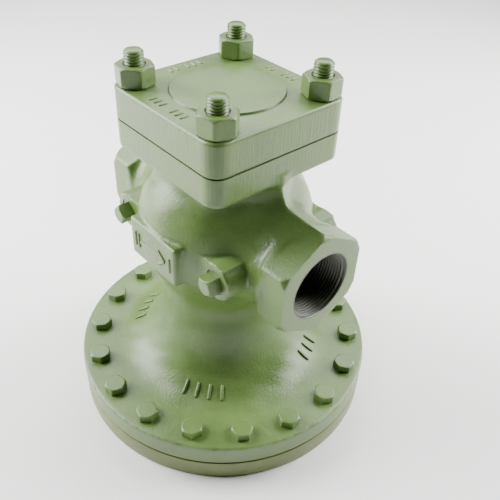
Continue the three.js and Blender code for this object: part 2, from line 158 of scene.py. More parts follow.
def grid_faces(rows: int, columns: int, wrap_rows: bool, wrap_columns: bool) -> np.ndarray:
    """Faces of a grid of points, numbered row by row.

    Args:
        rows: number of rows of points.
        columns: number of points in a row.
        wrap_rows: whether the last row joins the first.
        wrap_columns: whether the last column joins the first.

    Returns:
        Array of shape (m, 4) of point numbers.
    """
    row = np.arange(rows if wrap_rows else rows - 1)
    column = np.arange(columns if wrap_columns else columns - 1)
    r, c = np.meshgrid(row, column, indexing="ij")
    r_next, c_next = (r + 1) % rows, (c + 1) % columns
    corners = [r * columns + c, r * columns + c_next, r_next * columns + c_next, r_next * columns + c]
    return np.stack([corner.ravel() for corner in corners], axis=1)


def close_poles(points: np.ndarray, faces: np.ndarray) -> tuple[np.ndarray, np.ndarray]:
    """Merges points that lie on each other and drops faces that have no area left.

    Args:
        points: array of shape (n, 3), in millimetres.
        faces: array of shape (m, 4) of point numbers.

    Returns:
        The merged points and the faces between them.
    """
    keys = np.round(points * 1e4).astype(np.int64)
    _, first, inverse = np.unique(keys, axis=0, return_index=True, return_inverse=True)
    merged = inverse.reshape(-1)[faces]
    different = np.array([len(set(face)) > 2 for face in merged.tolist()])
    return points[first], merged[different]


def from_grid(name: str, grid: np.ndarray, wrap_rows: bool = False, wrap_columns: bool = True,
              smooth_angle: float = 35.0) -> bpy.types.Object:
    """Makes a piece from a grid of points.

    Args:
        name: name of the piece.
        grid: array of shape (rows, columns, 3), in millimetres. Rows run along the
            profile and columns run anticlockwise round it.
        wrap_rows: whether the profile closes on itself.
        wrap_columns: whether the columns close on themselves.
        smooth_angle: see new_object.

    Returns:
        The object.
    """
    rows, columns = grid.shape[:2]
    faces = grid_faces(rows, columns, wrap_rows, wrap_columns)
    points, faces = close_poles(grid.reshape(-1, 3), faces)
    return new_object(name, points, faces, smooth_angle)


def face_data(obj: bpy.types.Object, name: str) -> np.ndarray:
    """A vector that every face has, such as its normal or its centre, one row for each face."""
    values = np.empty(len(obj.data.polygons) * 3, np.float32)
    obj.data.polygons.foreach_get(name, values)
    return values.reshape(-1, 3)


def full_turn(columns: int) -> np.ndarray:
    """Evenly spaced angles once round, in radians."""
    return np.arange(columns) / columns * 2 * np.pi


def round_axis(radius: np.ndarray, angle: np.ndarray, z: np.ndarray,
               x: float = 0.0, y: float = 0.0) -> np.ndarray:
    """Points at these radii, angles and levels about an upright axis through x and y."""
    radius, angle, z = np.broadcast_arrays(radius, angle, z)
    return np.stack([x + radius * np.cos(angle), y + radius * np.sin(angle), z], -1)


def rounded(profile: Profile, radius: float, steps: int = 4) -> Profile:
    """Rounds the inner corners of an open profile with arcs.

    Each corner becomes a quadratic curve that leaves one side and joins the other at
    the given distance from the corner, or at 45% of a side that is too short for it.

    Args:
        profile: (radius, z) points.
        radius: distance from a corner at which its curve begins.
        steps: number of stretches in each curve.

    Returns:
        The longer list of points.
    """
    points = [np.array(p, float) for p in profile]
    made = [points[0]]
    for before, corner, after in zip(points, points[1:], points[2:]):
        back, on = before - corner, after - corner
        reach_back = min(radius, 0.45 * np.linalg.norm(back))
        reach_on = min(radius, 0.45 * np.linalg.norm(on))
        start = corner + back / np.linalg.norm(back) * reach_back
        end = corner + on / np.linalg.norm(on) * reach_on
        for t in np.linspace(0.0, 1.0, steps + 1):
            made.append((1 - t) ** 2 * start + 2 * t * (1 - t) * corner + t ** 2 * end)
    made.append(points[-1])
    return [(float(p[0]), float(p[1])) for p in made]


def turned(name: str, profile: Profile, corner: float = 0.5, columns: int = 96,
           ring: bool = False) -> bpy.types.Object:
    """Turns a profile about the stem's axis.

    A point of the surface at profile point (r, z) and angle a is (r cos a, r sin a, z).

    Args:
        name: name of the piece.
        profile: (radius, z) points, anticlockwise in the (radius, z) plane.
        corner: how far each corner is rounded.
        columns: number of points round the axis.
        ring: whether the profile closes on itself off the axis.

    Returns:
        The object.
    """
    if ring:
        closed = profile + profile[:2]
        line = np.array(rounded(closed, corner)[1:-1])[:-1]
    else:
        line = np.array(rounded(profile, corner))
    grid = round_axis(line[:, 0, None], full_turn(columns), line[:, 1, None])
    return from_grid(name, grid, wrap_rows=ring)


def polygon_radius(angle: np.ndarray, flats: float, sides: int, softness: float = 60.0) -> np.ndarray:
    """Distance from the axis to the side of a regular polygon with softened corners.

    Each side is a half-plane at flats / 2 from the axis. The sum of the sides' cosines,
    each raised to a high power, stands in for the nearest side and rounds the corners.

    Args:
        angle: angles in radians. Zero points at the middle of a side.
        flats: size across flats.
        sides: number of sides.
        softness: the power; a higher one makes sharper corners.

    Returns:
        The distances.
    """
    side = np.arange(sides) * 2 * np.pi / sides
    cosine = np.maximum(np.cos(angle[..., None] - side), 0.0)
    return flats / 2 / np.sum(cosine ** softness, axis=-1) ** (1 / softness)


def soft_min(a: np.ndarray, b: np.ndarray, width: float) -> np.ndarray:
    """The smaller of two fields, with a fillet of about this width where they cross."""
    overlap = np.maximum(width - np.abs(a - b), 0.0)
    return np.minimum(a, b) - overlap * overlap / (4 * width)


def soft_max(a: np.ndarray, b: np.ndarray, width: float) -> np.ndarray:
    """The larger of two fields, with a rounding of about this width where they cross."""
    return -soft_min(-a, -b, width)


# ---------------------------------------------------------------- surfaces from a field


@dataclass(frozen=True)
class Contour:
    """Draws the surface where a field is zero, as four-sided faces.

    The box is divided into cells along its three axes, which may be unevenly spaced.
    Where the field changes sign along a cell's edge, the crossing point and the
    field's slope there give a small plane. Each crossed cell gets one point, the one
    that lies closest to the planes on its edges, so smooth stretches stay smooth and
    machined edges stay straight. Each crossed edge gives one face between its four
    cells. All of it is done on whole arrays.
    """

    xs: np.ndarray
    ys: np.ndarray
    zs: np.ndarray
    pull: float = 0.04
    slope_step: float = 0.04

    def slope(self, shape: Field, points: np.ndarray) -> np.ndarray:
        """Unit direction in which the field rises at each point, from central differences."""
        step = self.slope_step
        parts = []
        for axis in range(3):
            ahead, behind = points.copy(), points.copy()
            ahead[:, axis] += step
            behind[:, axis] -= step
            parts.append(shape(*ahead.T) - shape(*behind.T))
        rise = np.stack(parts, axis=1)
        return rise / np.maximum(np.linalg.norm(rise, axis=1, keepdims=True), 1e-12)

    def crossings(self, shape: Field, values: np.ndarray, axis: int) -> tuple[np.ndarray, ...]:
        """Crossed edges along one axis.

        Args:
            shape: the field.
            values: the field at the corners of the cells.
            axis: 0, 1 or 2.

        Returns:
            Corner numbers of each edge's low end, its crossing point, and whether the
            low end is inside.
        """
        low = [slice(None)] * 3
        high = [slice(None)] * 3
        low[axis], high[axis] = slice(None, -1), slice(1, None)
        before, after = values[tuple(low)], values[tuple(high)]
        index = np.argwhere((before < 0) != (after < 0))
        lines = (self.xs, self.ys, self.zs)
        start = np.stack([lines[a][index[:, a]] for a in range(3)], axis=1)
        length = np.diff(lines[axis])[index[:, axis]]
        a = before[tuple(index.T)]
        b = after[tuple(index.T)]
        lower, upper = np.zeros(len(index)), np.ones(len(index))
        share = a / (a - b)
        for _ in range(3):
            points = start.copy()
            points[:, axis] += share * length
            value = shape(*points.T)
            same = (value < 0) == (a < 0)
            lower, upper = np.where(same, share, lower), np.where(same, upper, share)
            a_now, b_now = np.where(same, value, a), np.where(same, b, value)
            span_now = upper - lower
            guess = a_now / np.where(a_now == b_now, 1.0, a_now - b_now)
            share = lower + span_now * np.clip(guess, 0.02, 0.98)
            a, b = a_now, b_now
        points = start.copy()
        points[:, axis] += share * length
        return index, points, before[tuple(index.T)] < 0

    def draw(self, shape: Field) -> tuple[np.ndarray, np.ndarray]:
        """Points and faces of the surface.

        Args:
            shape: the field, negative inside.

        Returns:
            Points in the field's units, and faces as point numbers.
        """
        corners = (len(self.xs), len(self.ys), len(self.zs))
        cells = tuple(n - 1 for n in corners)
        values = np.concatenate([
            shape(*np.meshgrid(self.xs[i:i + 12], self.ys, self.zs, indexing="ij"))
            for i in range(0, corners[0], 12)
        ])
        cell_lists, planes = [], []
        faces = []
        for axis in range(3):
            index, points, inside = self.crossings(shape, values, axis)
            u, v = (axis + 1) % 3, (axis + 2) % 3
            around = []
            for du, dv in ((-1, -1), (0, -1), (0, 0), (-1, 0)):
                cell = index.copy()
                cell[:, u] += du
                cell[:, v] += dv
                around.append(np.ravel_multi_index(tuple(cell.T), cells))
            normal = self.slope(shape, points)
            for cell in around:
                cell_lists.append(cell)
                planes.append((points, normal))
            quad = np.stack(around, axis=1)
            faces.append(np.where(inside[:, None], quad, quad[:, ::-1]))
        used, slot_of = np.unique(np.concatenate(cell_lists), return_inverse=True)
        placed = self.fit(used, slot_of.reshape(-1), planes, cells)
        return placed, np.searchsorted(used, np.concatenate(faces))

    def fit(self, used: np.ndarray, slot_of: np.ndarray, planes: list, cells: tuple[int, ...]) -> np.ndarray:
        """Best point of each crossed cell.

        It solves (sum n nT + w I) x = sum n (n . p) + w m for each cell, where p and n
        are the crossings and slopes, m is their mean and w is a small weight, and
        keeps the point inside its cell.

        Args:
            used: numbers of the crossed cells.
            slot_of: for each crossing, which crossed cell it belongs to.
            planes: crossing points and slopes.
            cells: number of cells along each axis.

        Returns:
            One point for each crossed cell.
        """
        points = np.concatenate([p for p, _ in planes])
        normals = np.concatenate([n for _, n in planes])
        count = np.bincount(slot_of, minlength=len(used)).astype(float)
        mean = np.stack([np.bincount(slot_of, points[:, a]) / count for a in range(3)], axis=1)
        local = points - mean[slot_of]
        offset = np.sum(normals * local, axis=1)
        matrix = np.empty((len(used), 3, 3))
        right = np.empty((len(used), 3))
        for a in range(3):
            right[:, a] = np.bincount(slot_of, normals[:, a] * offset)
            for b in range(3):
                matrix[:, a, b] = np.bincount(slot_of, normals[:, a] * normals[:, b])
        matrix += (self.pull * count)[:, None, None] * np.eye(3)
        placed = mean + np.linalg.solve(matrix, right[..., None])[..., 0]
        where = np.unravel_index(used, cells)
        for a, line in enumerate((self.xs, self.ys, self.zs)):
            low, high = line[where[a]], line[where[a] + 1]
            placed[:, a] = np.clip(placed[:, a], low, high)
        return placed


def stepped(*stretches: tuple[float, float, float]) -> np.ndarray:
    """Joined stretches of evenly spaced values, each given as (from, to, spacing)."""
    lines = [np.linspace(a, b, max(2, int(round((b - a) / step)) + 1))[:-1] for a, b, step in stretches]
    return np.concatenate([*lines, [stretches[-1][1]]])


# ---------------------------------------------------------------- finishes


def linear(code: str) -> tuple[float, float, float, float]:
    """Turns an sRGB hex colour into linear red, green, blue and alpha."""
    parts = [int(code[i:i + 2], 16) / 255 for i in (1, 3, 5)]
    made = [p / 12.92 if p <= 0.04045 else ((p + 0.055) / 1.055) ** 2.4 for p in parts]
    return made[0], made[1], made[2], 1.0


def add_node(tree: bpy.types.NodeTree, kind: str, settings: dict | None = None,
             links: dict | None = None) -> bpy.types.Node:
    """Adds a shader node.

    Args:
        tree: the material's node tree.
        kind: the node's type name.
        settings: attribute or input values. A key that is an input's name sets that input.
        links: input name or number to the output socket that feeds it.

    Returns:
        The node.
    """
    node = tree.nodes.new(kind)
    for key, value in (settings or {}).items():
        if isinstance(key, str) and hasattr(node, key):
            setattr(node, key, value)
        else:
            node.inputs[key].default_value = value
    for key, socket in (links or {}).items():
        tree.links.new(socket, node.inputs[key])
    return node


def start_material(name: str) -> tuple[bpy.types.Material, bpy.types.NodeTree, bpy.types.NodeSocket]:
    """An empty node material, its tree, and the socket that gives Object coordinates."""
    made = bpy.data.materials.new(name)
    made.use_nodes = True
    tree = made.node_tree
    tree.nodes.clear()
    return made, tree, add_node(tree, "ShaderNodeTexCoord").outputs["Object"]


def noise(tree: bpy.types.NodeTree, spot: bpy.types.NodeSocket, size_mm: float, detail: float,
          roughness: float = 0.5) -> bpy.types.NodeSocket:
    """Noise whose largest features are about size_mm across."""
    settings = {"Scale": 1 / (size_mm * MM), "Detail": detail, "Roughness": roughness}
    return add_node(tree, "ShaderNodeTexNoise", settings, {"Vector": spot}).outputs["Fac"]


def bump(tree: bpy.types.NodeTree, height: bpy.types.NodeSocket, depth_mm: float,
         normal: bpy.types.NodeSocket | None = None) -> bpy.types.NodeSocket:
    """Tilts the surface as if the height stood depth_mm proud, on top of another normal if given."""
    links = {"Height": height, "Normal": normal} if normal else {"Height": height}
    settings = {"Strength": 1.0, "Distance": depth_mm * MM}
    return add_node(tree, "ShaderNodeBump", settings, links).outputs["Normal"]


def two_tone(tree: bpy.types.NodeTree, dark: str, light: str,
             share: bpy.types.NodeSocket) -> bpy.types.NodeSocket:
    """Blends two sRGB colours."""
    settings = {"data_type": "RGBA", 6: linear(dark), 7: linear(light)}
    return add_node(tree, "ShaderNodeMix", settings, {0: share}).outputs[2]


def spread(tree: bpy.types.NodeTree, share: bpy.types.NodeSocket, source: tuple[float, float],
           target: tuple[float, float]) -> bpy.types.NodeSocket:
    """Stretches a value from one range to another."""
    settings = {"From Min": source[0], "From Max": source[1], "To Min": target[0], "To Max": target[1]}
    return add_node(tree, "ShaderNodeMapRange", settings, {"Value": share}).outputs["Result"]


def stretched(tree: bpy.types.NodeTree, spot: bpy.types.NodeSocket,
              scale: tuple[float, float, float]) -> bpy.types.NodeSocket:
    """Coordinates scaled along X, Y and Z. A smaller scale draws a pattern out along that axis."""
    return add_node(tree, "ShaderNodeMapping", {"Scale": scale}, {"Vector": spot}).outputs["Vector"]


def close_material(tree: bpy.types.NodeTree, settings: dict, links: dict) -> None:
    """Adds the surface shader and the output."""
    shader = add_node(tree, "ShaderNodeBsdfPrincipled", settings, links)
    add_node(tree, "ShaderNodeOutputMaterial", {}, {"Surface": shader.outputs["BSDF"]})


@dataclass(frozen=True)
class Paint:
    """Air-dried alkyd machinery enamel, sprayed over grey iron or steel.

    The binder is clear and fairly glossy, so pale surroundings wash out the green on
    surfaces that mirror them, and the green is deep where they don't. Over a sand
    casting the film follows the grain of the mould.
    """

    name: str
    grain_mm: float
    grain_depth: float
    peel_depth: float
    light: str = "#607a3e"
    dark: str = "#526b34"
    roughness: float = 0.36
    streak_depth: float = 0.0

    def material(self) -> bpy.types.Material:
        """Builds the node material."""
        made, tree, spot = start_material(self.name)
        # Cloudy change of film thickness, about 30 mm across, and the spray's mottle of a few mm.
        cloud = noise(tree, spot, 30.0, 3.0, 0.55)
        mottle = noise(tree, spot, 5.0, 2.0)
        blend = add_node(tree, "ShaderNodeMath", {"operation": "MULTIPLY_ADD", 1: 0.35},
                         {0: mottle, 2: cloud})
        share = spread(tree, blend.outputs["Value"], (0.45, 0.90), (0.0, 1.0))
        colour = two_tone(tree, self.dark, self.light, share)
        rough = spread(tree, cloud, (0.3, 0.7), (self.roughness - 0.05, self.roughness + 0.07))
        # Grain of the sand mould under the film, then the fine orange peel of the film itself.
        normal = bump(tree, noise(tree, spot, self.grain_mm, 4.0, 0.6), self.grain_depth)
        normal = bump(tree, noise(tree, spot, 1.6, 1.0), self.peel_depth, normal)
        if self.streak_depth > 0:
            # Upright grinding marks: noise about 1 mm wide, drawn out 20 times along Z.
            streaks = noise(tree, stretched(tree, spot, (1.0, 1.0, 0.05)), 1.3, 2.0)
            normal = bump(tree, streaks, self.streak_depth, normal)
        close_material(tree, {"IOR": 1.5, "Coat Weight": 0.15, "Coat Roughness": 0.32},
                       {"Base Color": colour, "Roughness": rough, "Normal": normal})
        return made


@dataclass(frozen=True)
class Metal:
    """Bare metal with tool marks.

    Turned or drawn metal mirrors its surroundings, drawn out across fine marks. The
    marks change the roughness and tilt the surface a little.
    """

    name: str
    colour: str
    shade: str
    roughness: float
    mark_mm: float
    mark_depth: float
    mark_stretch: tuple[float, float, float] = (1.0, 1.0, 1.0)

    def material(self) -> bpy.types.Material:
        """Builds the node material."""
        made, tree, spot = start_material(self.name)
        marks = noise(tree, stretched(tree, spot, self.mark_stretch), self.mark_mm, 3.0)
        # Stains about 12 mm across.
        colour = two_tone(tree, self.shade, self.colour, noise(tree, spot, 12.0, 4.0))
        rough = spread(tree, marks, (0.3, 0.7), (self.roughness - 0.06, self.roughness + 0.10))
        normal = bump(tree, marks, self.mark_depth)
        close_material(tree, {"Metallic": 1.0}, {"Base Color": colour, "Roughness": rough, "Normal": normal})
        return made


@dataclass(frozen=True)
class GasketSheet:
    """Compressed graphite sheet: matt, dark grey, with a flecked surface."""

    name: str = "compressed_graphite_sheet"

    def material(self) -> bpy.types.Material:
        """Builds the node material."""
        made, tree, spot = start_material(self.name)
        # Flakes of graphite about 0.6 mm across.
        flecks = noise(tree, spot, 0.6, 2.0)
        colour = two_tone(tree, "#262827", "#4b4e4d", flecks)
        close_material(tree, {"Roughness": 0.75}, {"Base Color": colour, "Normal": bump(tree, flecks, 0.04)})
        return made


class Finishes:
    """Every finish of the valve, built once."""

    def __init__(self) -> None:
        """Builds the materials."""
        # Enamel on a sand casting: visible grain, soft highlights.
        self.casting = Paint("sprayed_alkyd_enamel_on_sand_cast_iron", 1.9, 0.28, 0.05).material()
        # The same enamel on ground edges of the flanges and cover: upright streaks.
        self.ground = Paint("sprayed_alkyd_enamel_on_ground_cast_iron", 2.0, 0.16, 0.04,
                            streak_depth=0.22).material()
        # The same enamel on the turned lower case, in a yellower and darker green.
        self.lower = Paint("yellower_alkyd_enamel_on_turned_cast_iron", 2.0, 0.16, 0.04, light="#6a7838",
                           dark="#5a682c", streak_depth=0.08).material()
        # The same enamel on cold-headed steel: smooth, only the film's own orange peel.
        self.fastener = Paint("sprayed_alkyd_enamel_on_steel_fasteners", 1.6, 0.06, 0.05).material()
        # Turned stainless steel: bright, with fine rings from the lathe.
        self.stainless = Metal("lathe_turned_stainless_steel", "#cfcfca", "#b4b4ae", 0.24, 0.8, 0.015,
                               (1.0, 1.0, 6.0)).material()
        # Cold-rolled phosphor bronze: warm, slightly brown where it has tarnished.
        self.bronze = Metal("cold_rolled_phosphor_bronze", "#c79a63", "#8f6a42", 0.30, 1.2, 0.01).material()
        # Drawn and oil-tempered spring wire: dark, with lengthwise drawing marks.
        self.spring = Metal("oil_tempered_spring_wire", "#6c6c70", "#3f4044", 0.38, 0.5, 0.02).material()
        # Cut thread with only a thin mist of the enamel on it: duller than the outside, and its much darker
        # colour is painted shade inside the socket.
        self.thread = Paint("overspray_and_painted_shade_on_cut_cast_iron_thread", 1.0, 0.10, 0.03, light="#474e36",
                            dark="#2b3122").material()
        self.gasket = GasketSheet().material()


# ---------------------------------------------------------------- giving a piece its finish and body


def settle(obj: bpy.types.Object, material: bpy.types.Material, slot: Slot, moves: Moves,
           *stands_for: str) -> bpy.types.Object:
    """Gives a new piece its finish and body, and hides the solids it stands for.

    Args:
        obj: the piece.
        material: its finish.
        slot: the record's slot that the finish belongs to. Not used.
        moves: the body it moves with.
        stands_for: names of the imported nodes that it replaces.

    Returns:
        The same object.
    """
    obj.data.materials.clear()
    obj.data.materials.append(material)
    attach(obj, moves.value)
    if stands_for:
        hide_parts(*stands_for)
    LOG.info("%s: %d faces", obj.name, len(obj.data.polygons))
    return obj


# ---------------------------------------------------------------- body casting


@dataclass
class BodyCasting:
    """Globe, square top flange, hexagonal ends, bosses, name pad, bell and round flange.

    The casting is one flowing surface with a fillet wherever two shapes meet, which no
    single grid of two parameters follows. So it is the zero surface of a distance
    field: simple shapes joined with fillets, less its hollows.
    """

    flange_radius: float = 115.5
    flange_top: float = 33.6
    foot: float = 17.75
    globe: float = 63.0
    neck: float = 48.0
    port_neck: float = 33.8
    port_flats: float = 68.0
    hex_start: float = 71.0
    crest: float = 39.3
    prow_tip: float = 54.5
    top_low: float = 204.6
    top_high: float = 224.0
    top_half: float = 53.7
    top_corner: float = 10.5
    boss_x: float = 50.0
    boss_face: float = 50.0
    boss_radius: float = 13.5
    screw_hole: float = 5.2
    stud_spacing: float = 40.9
    stud_hole: float = 6.8
    tap_radius: float = 8.75
    tap_mouth: float = 8.9
    chamber: float = 33.0
    # Upright bores as radius, low end and high end.
    spring_pocket: tuple[float, float, float] = (36.0, 80.0, 96.0)
    guide_bore: tuple[float, float, float] = (12.0, 90.0, 120.0)
    seat_bore: tuple[float, float, float] = (20.3, 140.0, 162.0)
    # Level bores of the ports as radius and distance of the inner end from the stem's axis.
    port_bore: tuple[float, float] = (21.0, 54.0)
    port_socket: tuple[float, float] = (24.2, 67.0)
    passage_radius: float = 16.5

    def upright(self, x: np.ndarray, y: np.ndarray, z: np.ndarray, radius: float, low: float,
                high: float) -> np.ndarray:
        """Distance to an upright cylinder on the stem's axis between two levels."""
        side = np.hypot(x, y) - radius
        ends = np.maximum(low - z, z - high)
        return np.maximum(side, ends)

    def block(self, x: np.ndarray, y: np.ndarray, z: np.ndarray, low: Sequence[float],
              high: Sequence[float], edge: float) -> np.ndarray:
        """Distance to a box between two corners, with its edges rounded."""
        far = []
        for value, a, b in zip((x, y, z), low, high):
            far.append(np.abs(value - (a + b) / 2) - (b - a) / 2 + edge)
        outside = np.sqrt(sum(np.maximum(d, 0.0) ** 2 for d in far))
        inside = np.minimum(np.maximum(np.maximum(far[0], far[1]), far[2]), 0.0)
        return outside + inside - edge

    def trumpet(self, r: np.ndarray, z: np.ndarray, reach: float, rise: float) -> np.ndarray:
        """Distance to the ellipse whose lower inner quarter is the flare of the bell.

        It is k0 (k0 - 1) / k1, with k0 the length of the point measured in half axes
        and k1 its length measured in squared half axes.
        """
        u, v = np.minimum(r - BELL_CENTRE[0], 0.0), np.minimum(z - BELL_CENTRE[1], 0.0)
        k0 = np.sqrt((u / reach) ** 2 + (v / rise) ** 2)
        k1 = np.sqrt((u / reach ** 2) ** 2 + (v / rise ** 2) ** 2)
        return k0 * (k0 - 1.0) / np.maximum(k1, 1e-4)

    def bell(self, x: np.ndarray, y: np.ndarray, z: np.ndarray) -> np.ndarray:
        """Distance to the trumpet between neck and flange."""
        r = np.hypot(x, y)
        hollow = self.trumpet(r, z, *BELL_REACH)
        block = np.maximum(r - BELL_CENTRE[0], np.maximum(20.0 - z, z - BELL_CENTRE[1]))
        return np.maximum(block, -hollow)

    def hex_end(self, x: np.ndarray, y: np.ndarray, z: np.ndarray) -> np.ndarray:
        """Distance to both hexagonal ends, which mirror each other.

        Six planes make the hexagon. A cone turns back its outer corners at the face,
        and a second one runs it out into the round neck.
        """
        u, along = z - FLOW_Z, np.abs(x)
        flats = self.port_flats / 2
        side = np.abs(y) - flats
        slanted = np.abs(y) * 0.5 + np.abs(u) * math.cos(math.pi / 6) - flats
        hexagon = soft_max(side, slanted, 1.2)
        radius = np.hypot(y, u)
        face_cone = (radius - 36.6) * 0.80 + (along - PORT_FACE) * 0.60
        run_out = (radius - self.port_neck) * 0.5 - (along - self.hex_start) * 0.866
        # The upper flats run on into the globe, so the cone leaves them alone.
        run_out = soft_min(run_out, soft_max(np.abs(y) - 16.0, -u, 4.0), 5.0)
        ends = np.maximum(along - PORT_FACE, 30.0 - along)
        made = soft_max(soft_max(hexagon, face_cone, 0.5), run_out, 1.6)
        return soft_max(made, ends, 0.5)

    def bosses(self, x: np.ndarray, y: np.ndarray, z: np.ndarray) -> np.ndarray:
        """Distance to the four pilot bosses: a round pad under a short flat ledge."""
        u, v, w = np.abs(x) - self.boss_x, np.abs(y), z - FLOW_Z
        pad = soft_max(np.hypot(u, w) - self.boss_radius, v - self.boss_face, 1.6)
        ledge = self.block(np.abs(x), v, z, (33.6, 10.0, FLOW_Z - 4), (58.0, self.boss_face, 161.0), 0.9)
        return soft_min(pad, ledge, 1.0)

    def prow(self, x: np.ndarray, y: np.ndarray, z: np.ndarray) -> np.ndarray:
        """Distance to the pointed neck under the square flange.

        The upper flats of the hexagonal ends run back along the crest line, which sweeps
        up to the tip of the neck, so both are one 120 degree wedge under that line.
        """
        u, along = z - FLOW_Z, np.abs(x)
        line = soft_min(u - self.crest, along - self.prow_tip, 19.0)
        wedge = math.cos(math.pi / 6) * line + 0.5 * np.sqrt(y * y + 2.0)
        plan = (np.sqrt((x / 75.0) ** 2 + (y / 44.0) ** 2) - 1.0) * 46.0
        throat = np.maximum(soft_max(wedge, plan, 6.0), z - self.top_low - 4)
        return np.maximum(throat, -u)

    def rounded_square(self, x: np.ndarray, y: np.ndarray) -> np.ndarray:
        """Distance in plan to the outline of the square flange."""
        inner = self.top_half - self.top_corner
        u, v = np.abs(x) - inner, np.abs(y) - inner
        outside = np.hypot(np.maximum(u, 0), np.maximum(v, 0))
        return outside + np.minimum(np.maximum(u, v), 0) - self.top_corner

    def ripple(self, x: np.ndarray, y: np.ndarray, z: np.ndarray) -> np.ndarray:
        """Slight unevenness of the sand mould: waves 20 to 45 mm long, 0.25 mm high."""
        return 0.11 * (np.sin(x / 5.1 + 1.3) * np.cos(y / 6.3 - z / 9.0)
                       + np.sin(z / 4.4 + x / 7.7) * np.cos(y / 5.2 + 0.6)
                       + 0.6 * np.sin(y / 3.4 - x / 4.1 + z / 3.9))

    def outside(self, x: np.ndarray, y: np.ndarray, z: np.ndarray) -> np.ndarray:
        """Distance to the casting before its hollows are taken out."""
        u = z - FLOW_Z
        globe = np.sqrt(x * x + y * y + u * u) - self.globe
        neck = self.upright(x, y, z, self.neck, 30.0, FLOW_Z - 25)
        made = soft_min(globe, neck, 7.0)
        flow = np.maximum(np.hypot(y, u) - self.port_neck, np.abs(x) - self.hex_start - 4)
        made = soft_min(made, flow, 9.0)
        made = soft_min(made, self.prow(x, y, z), 4.0)
        made = np.minimum(made, self.bell(x, y, z))
        made = made + self.ripple(x, y, z)
        made = soft_min(made, self.hex_end(x, y, z), 3.0)
        made = soft_min(made, self.bosses(x, y, z), 1.8)
        pad = self.block(x, y, z, (-25.5, -63.6, 134.0), (25.5, -30.0, 164.0), 1.8)
        made = soft_min(made, pad, 2.6)
        top = soft_max(self.rounded_square(x, y), self.top_low - z, 2.4)
        made = soft_min(made, np.maximum(top, z - self.top_high), 5.0)
        made = np.maximum(made, z - self.top_high)
        disc = soft_max(np.hypot(x, y) - self.flange_radius, z - self.flange_top, 2.4)
        made = np.minimum(made, np.maximum(disc, z - 60.0))
        return np.maximum(soft_max(made, self.foot - z, 0.6), np.hypot(x, y) - self.flange_radius)

    def passage(self, x: np.ndarray, y: np.ndarray, z: np.ndarray, side: float, rise: float) -> np.ndarray:
        """Distance to the slanting passage from a port to one of the chambers."""
        start = np.array([side * 68.0, 0.0, FLOW_Z])
        along = np.array([-side * 50.0, 0.0, rise])
        length = np.linalg.norm(along)
        along = along / length
        rel = (x - start[0], y - start[1], z - start[2])
        t = rel[0] * along[0] + rel[2] * along[2]
        r2 = rel[0] ** 2 + rel[1] ** 2 + rel[2] ** 2 - t * t
        return np.maximum(np.sqrt(np.maximum(r2, 0.0)) - self.passage_radius, np.maximum(-t, t - length))

    def hollows(self, x: np.ndarray, y: np.ndarray, z: np.ndarray) -> np.ndarray:
        """Distance to everything that is hollow: chambers, passages, sockets and holes."""
        r = np.hypot(x, y)
        inside = self.trumpet(r, z, 52.0, 65.0)
        spring = soft_max(np.maximum(r - 79.0, -inside), z - 96.0, 3.0)
        spring = np.minimum(spring, self.upright(x, y, z, *self.spring_pocket))
        made = np.maximum(spring, 10.0 - z)
        made = np.minimum(made, soft_max(r - self.chamber, np.maximum(116.0 - z, z - 144.0), 3.0))
        for bore in (self.guide_bore, self.seat_bore, (self.chamber, 158.0, 240.0)):
            made = np.minimum(made, self.upright(x, y, z, *bore))
        u = z - FLOW_Z
        for radius, depth in (self.port_bore, self.port_socket):
            made = np.minimum(made, np.maximum(np.hypot(y, u) - radius, depth - np.abs(x)))
        made = soft_min(made, self.passage(x, y, z, -1.0, 30.0), 3.0)
        made = soft_min(made, self.passage(x, y, z, 1.0, -27.0), 3.0)
        from_tap = np.hypot(np.abs(x) - self.boss_x, u)
        made = np.minimum(made, np.maximum(from_tap - self.tap_radius, y + 36.0))
        mouth = from_tap - self.tap_mouth + np.maximum(y + self.boss_face, 0.0)
        made = np.minimum(made, np.maximum(mouth, y + self.boss_face - 1.0))
        studs = np.hypot(np.abs(x) - self.stud_spacing, np.abs(y) - self.stud_spacing) - self.stud_hole
        made = np.minimum(made, np.maximum(studs, 209.0 - z))
        turn = np.arctan2(y, x)
        step = math.radians(SCREW_STEP)
        near = (turn - math.radians(SCREW_FIRST) + step / 2) % step - step / 2
        hole = np.hypot(r * np.cos(near) - SCREW_CIRCLE, r * np.sin(near)) - self.screw_hole
        return np.minimum(made, np.maximum(hole, z - 60.0))

    def shape(self, x: np.ndarray, y: np.ndarray, z: np.ndarray) -> np.ndarray:
        """Distance to the finished casting, negative in the metal."""
        return soft_max(self.outside(x, y, z), -self.hollows(x, y, z), 0.35)

    def build(self, finishes: Finishes) -> bpy.types.Object:
        """Draws the casting and dresses it.

        Args:
            finishes: the materials.

        Returns:
            The piece.
        """
        coarse, fine = ((2.4, 1.5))
        contour = Contour(
            xs=stepped((-119, -98, coarse), (-98, 98, fine), (98, 119, coarse)),
            ys=stepped((-119, -66, coarse), (-66, 66, fine), (66, 119, coarse)),
            zs=stepped((15, 38, fine), (38, 98, coarse), (98, 227, fine)),
        )
        points, faces = contour.draw(self.shape)
        obj = new_object("body_casting_fine", points, faces, 32.0)
        obj.data.materials.append(finishes.casting)
        obj.data.materials.append(finishes.ground)
        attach(obj, Moves.BODY.value)
        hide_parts("body_casting")
        self.mark_ground_faces(obj)
        LOG.info("%s: %d faces", obj.name, len(obj.data.polygons))
        return obj

    def mark_ground_faces(self, obj: bpy.types.Object) -> None:
        """Gives the sides of the square flange and the rim of the round one the ground finish."""
        centre = face_data(obj, "center") / MM
        upright = np.abs(face_data(obj, "normal")[:, 2]) < 0.5
        square = (centre[:, 2] > self.top_low + 1) & (np.maximum(*np.abs(centre[:, :2]).T) > 40)
        rim = (centre[:, 2] < self.flange_top) & (np.hypot(*centre[:, :2].T) > self.flange_radius - 2)
        obj.data.polygons.foreach_set("material_index", (upright & (square | rim)).astype(np.int32))
        obj.data.update()


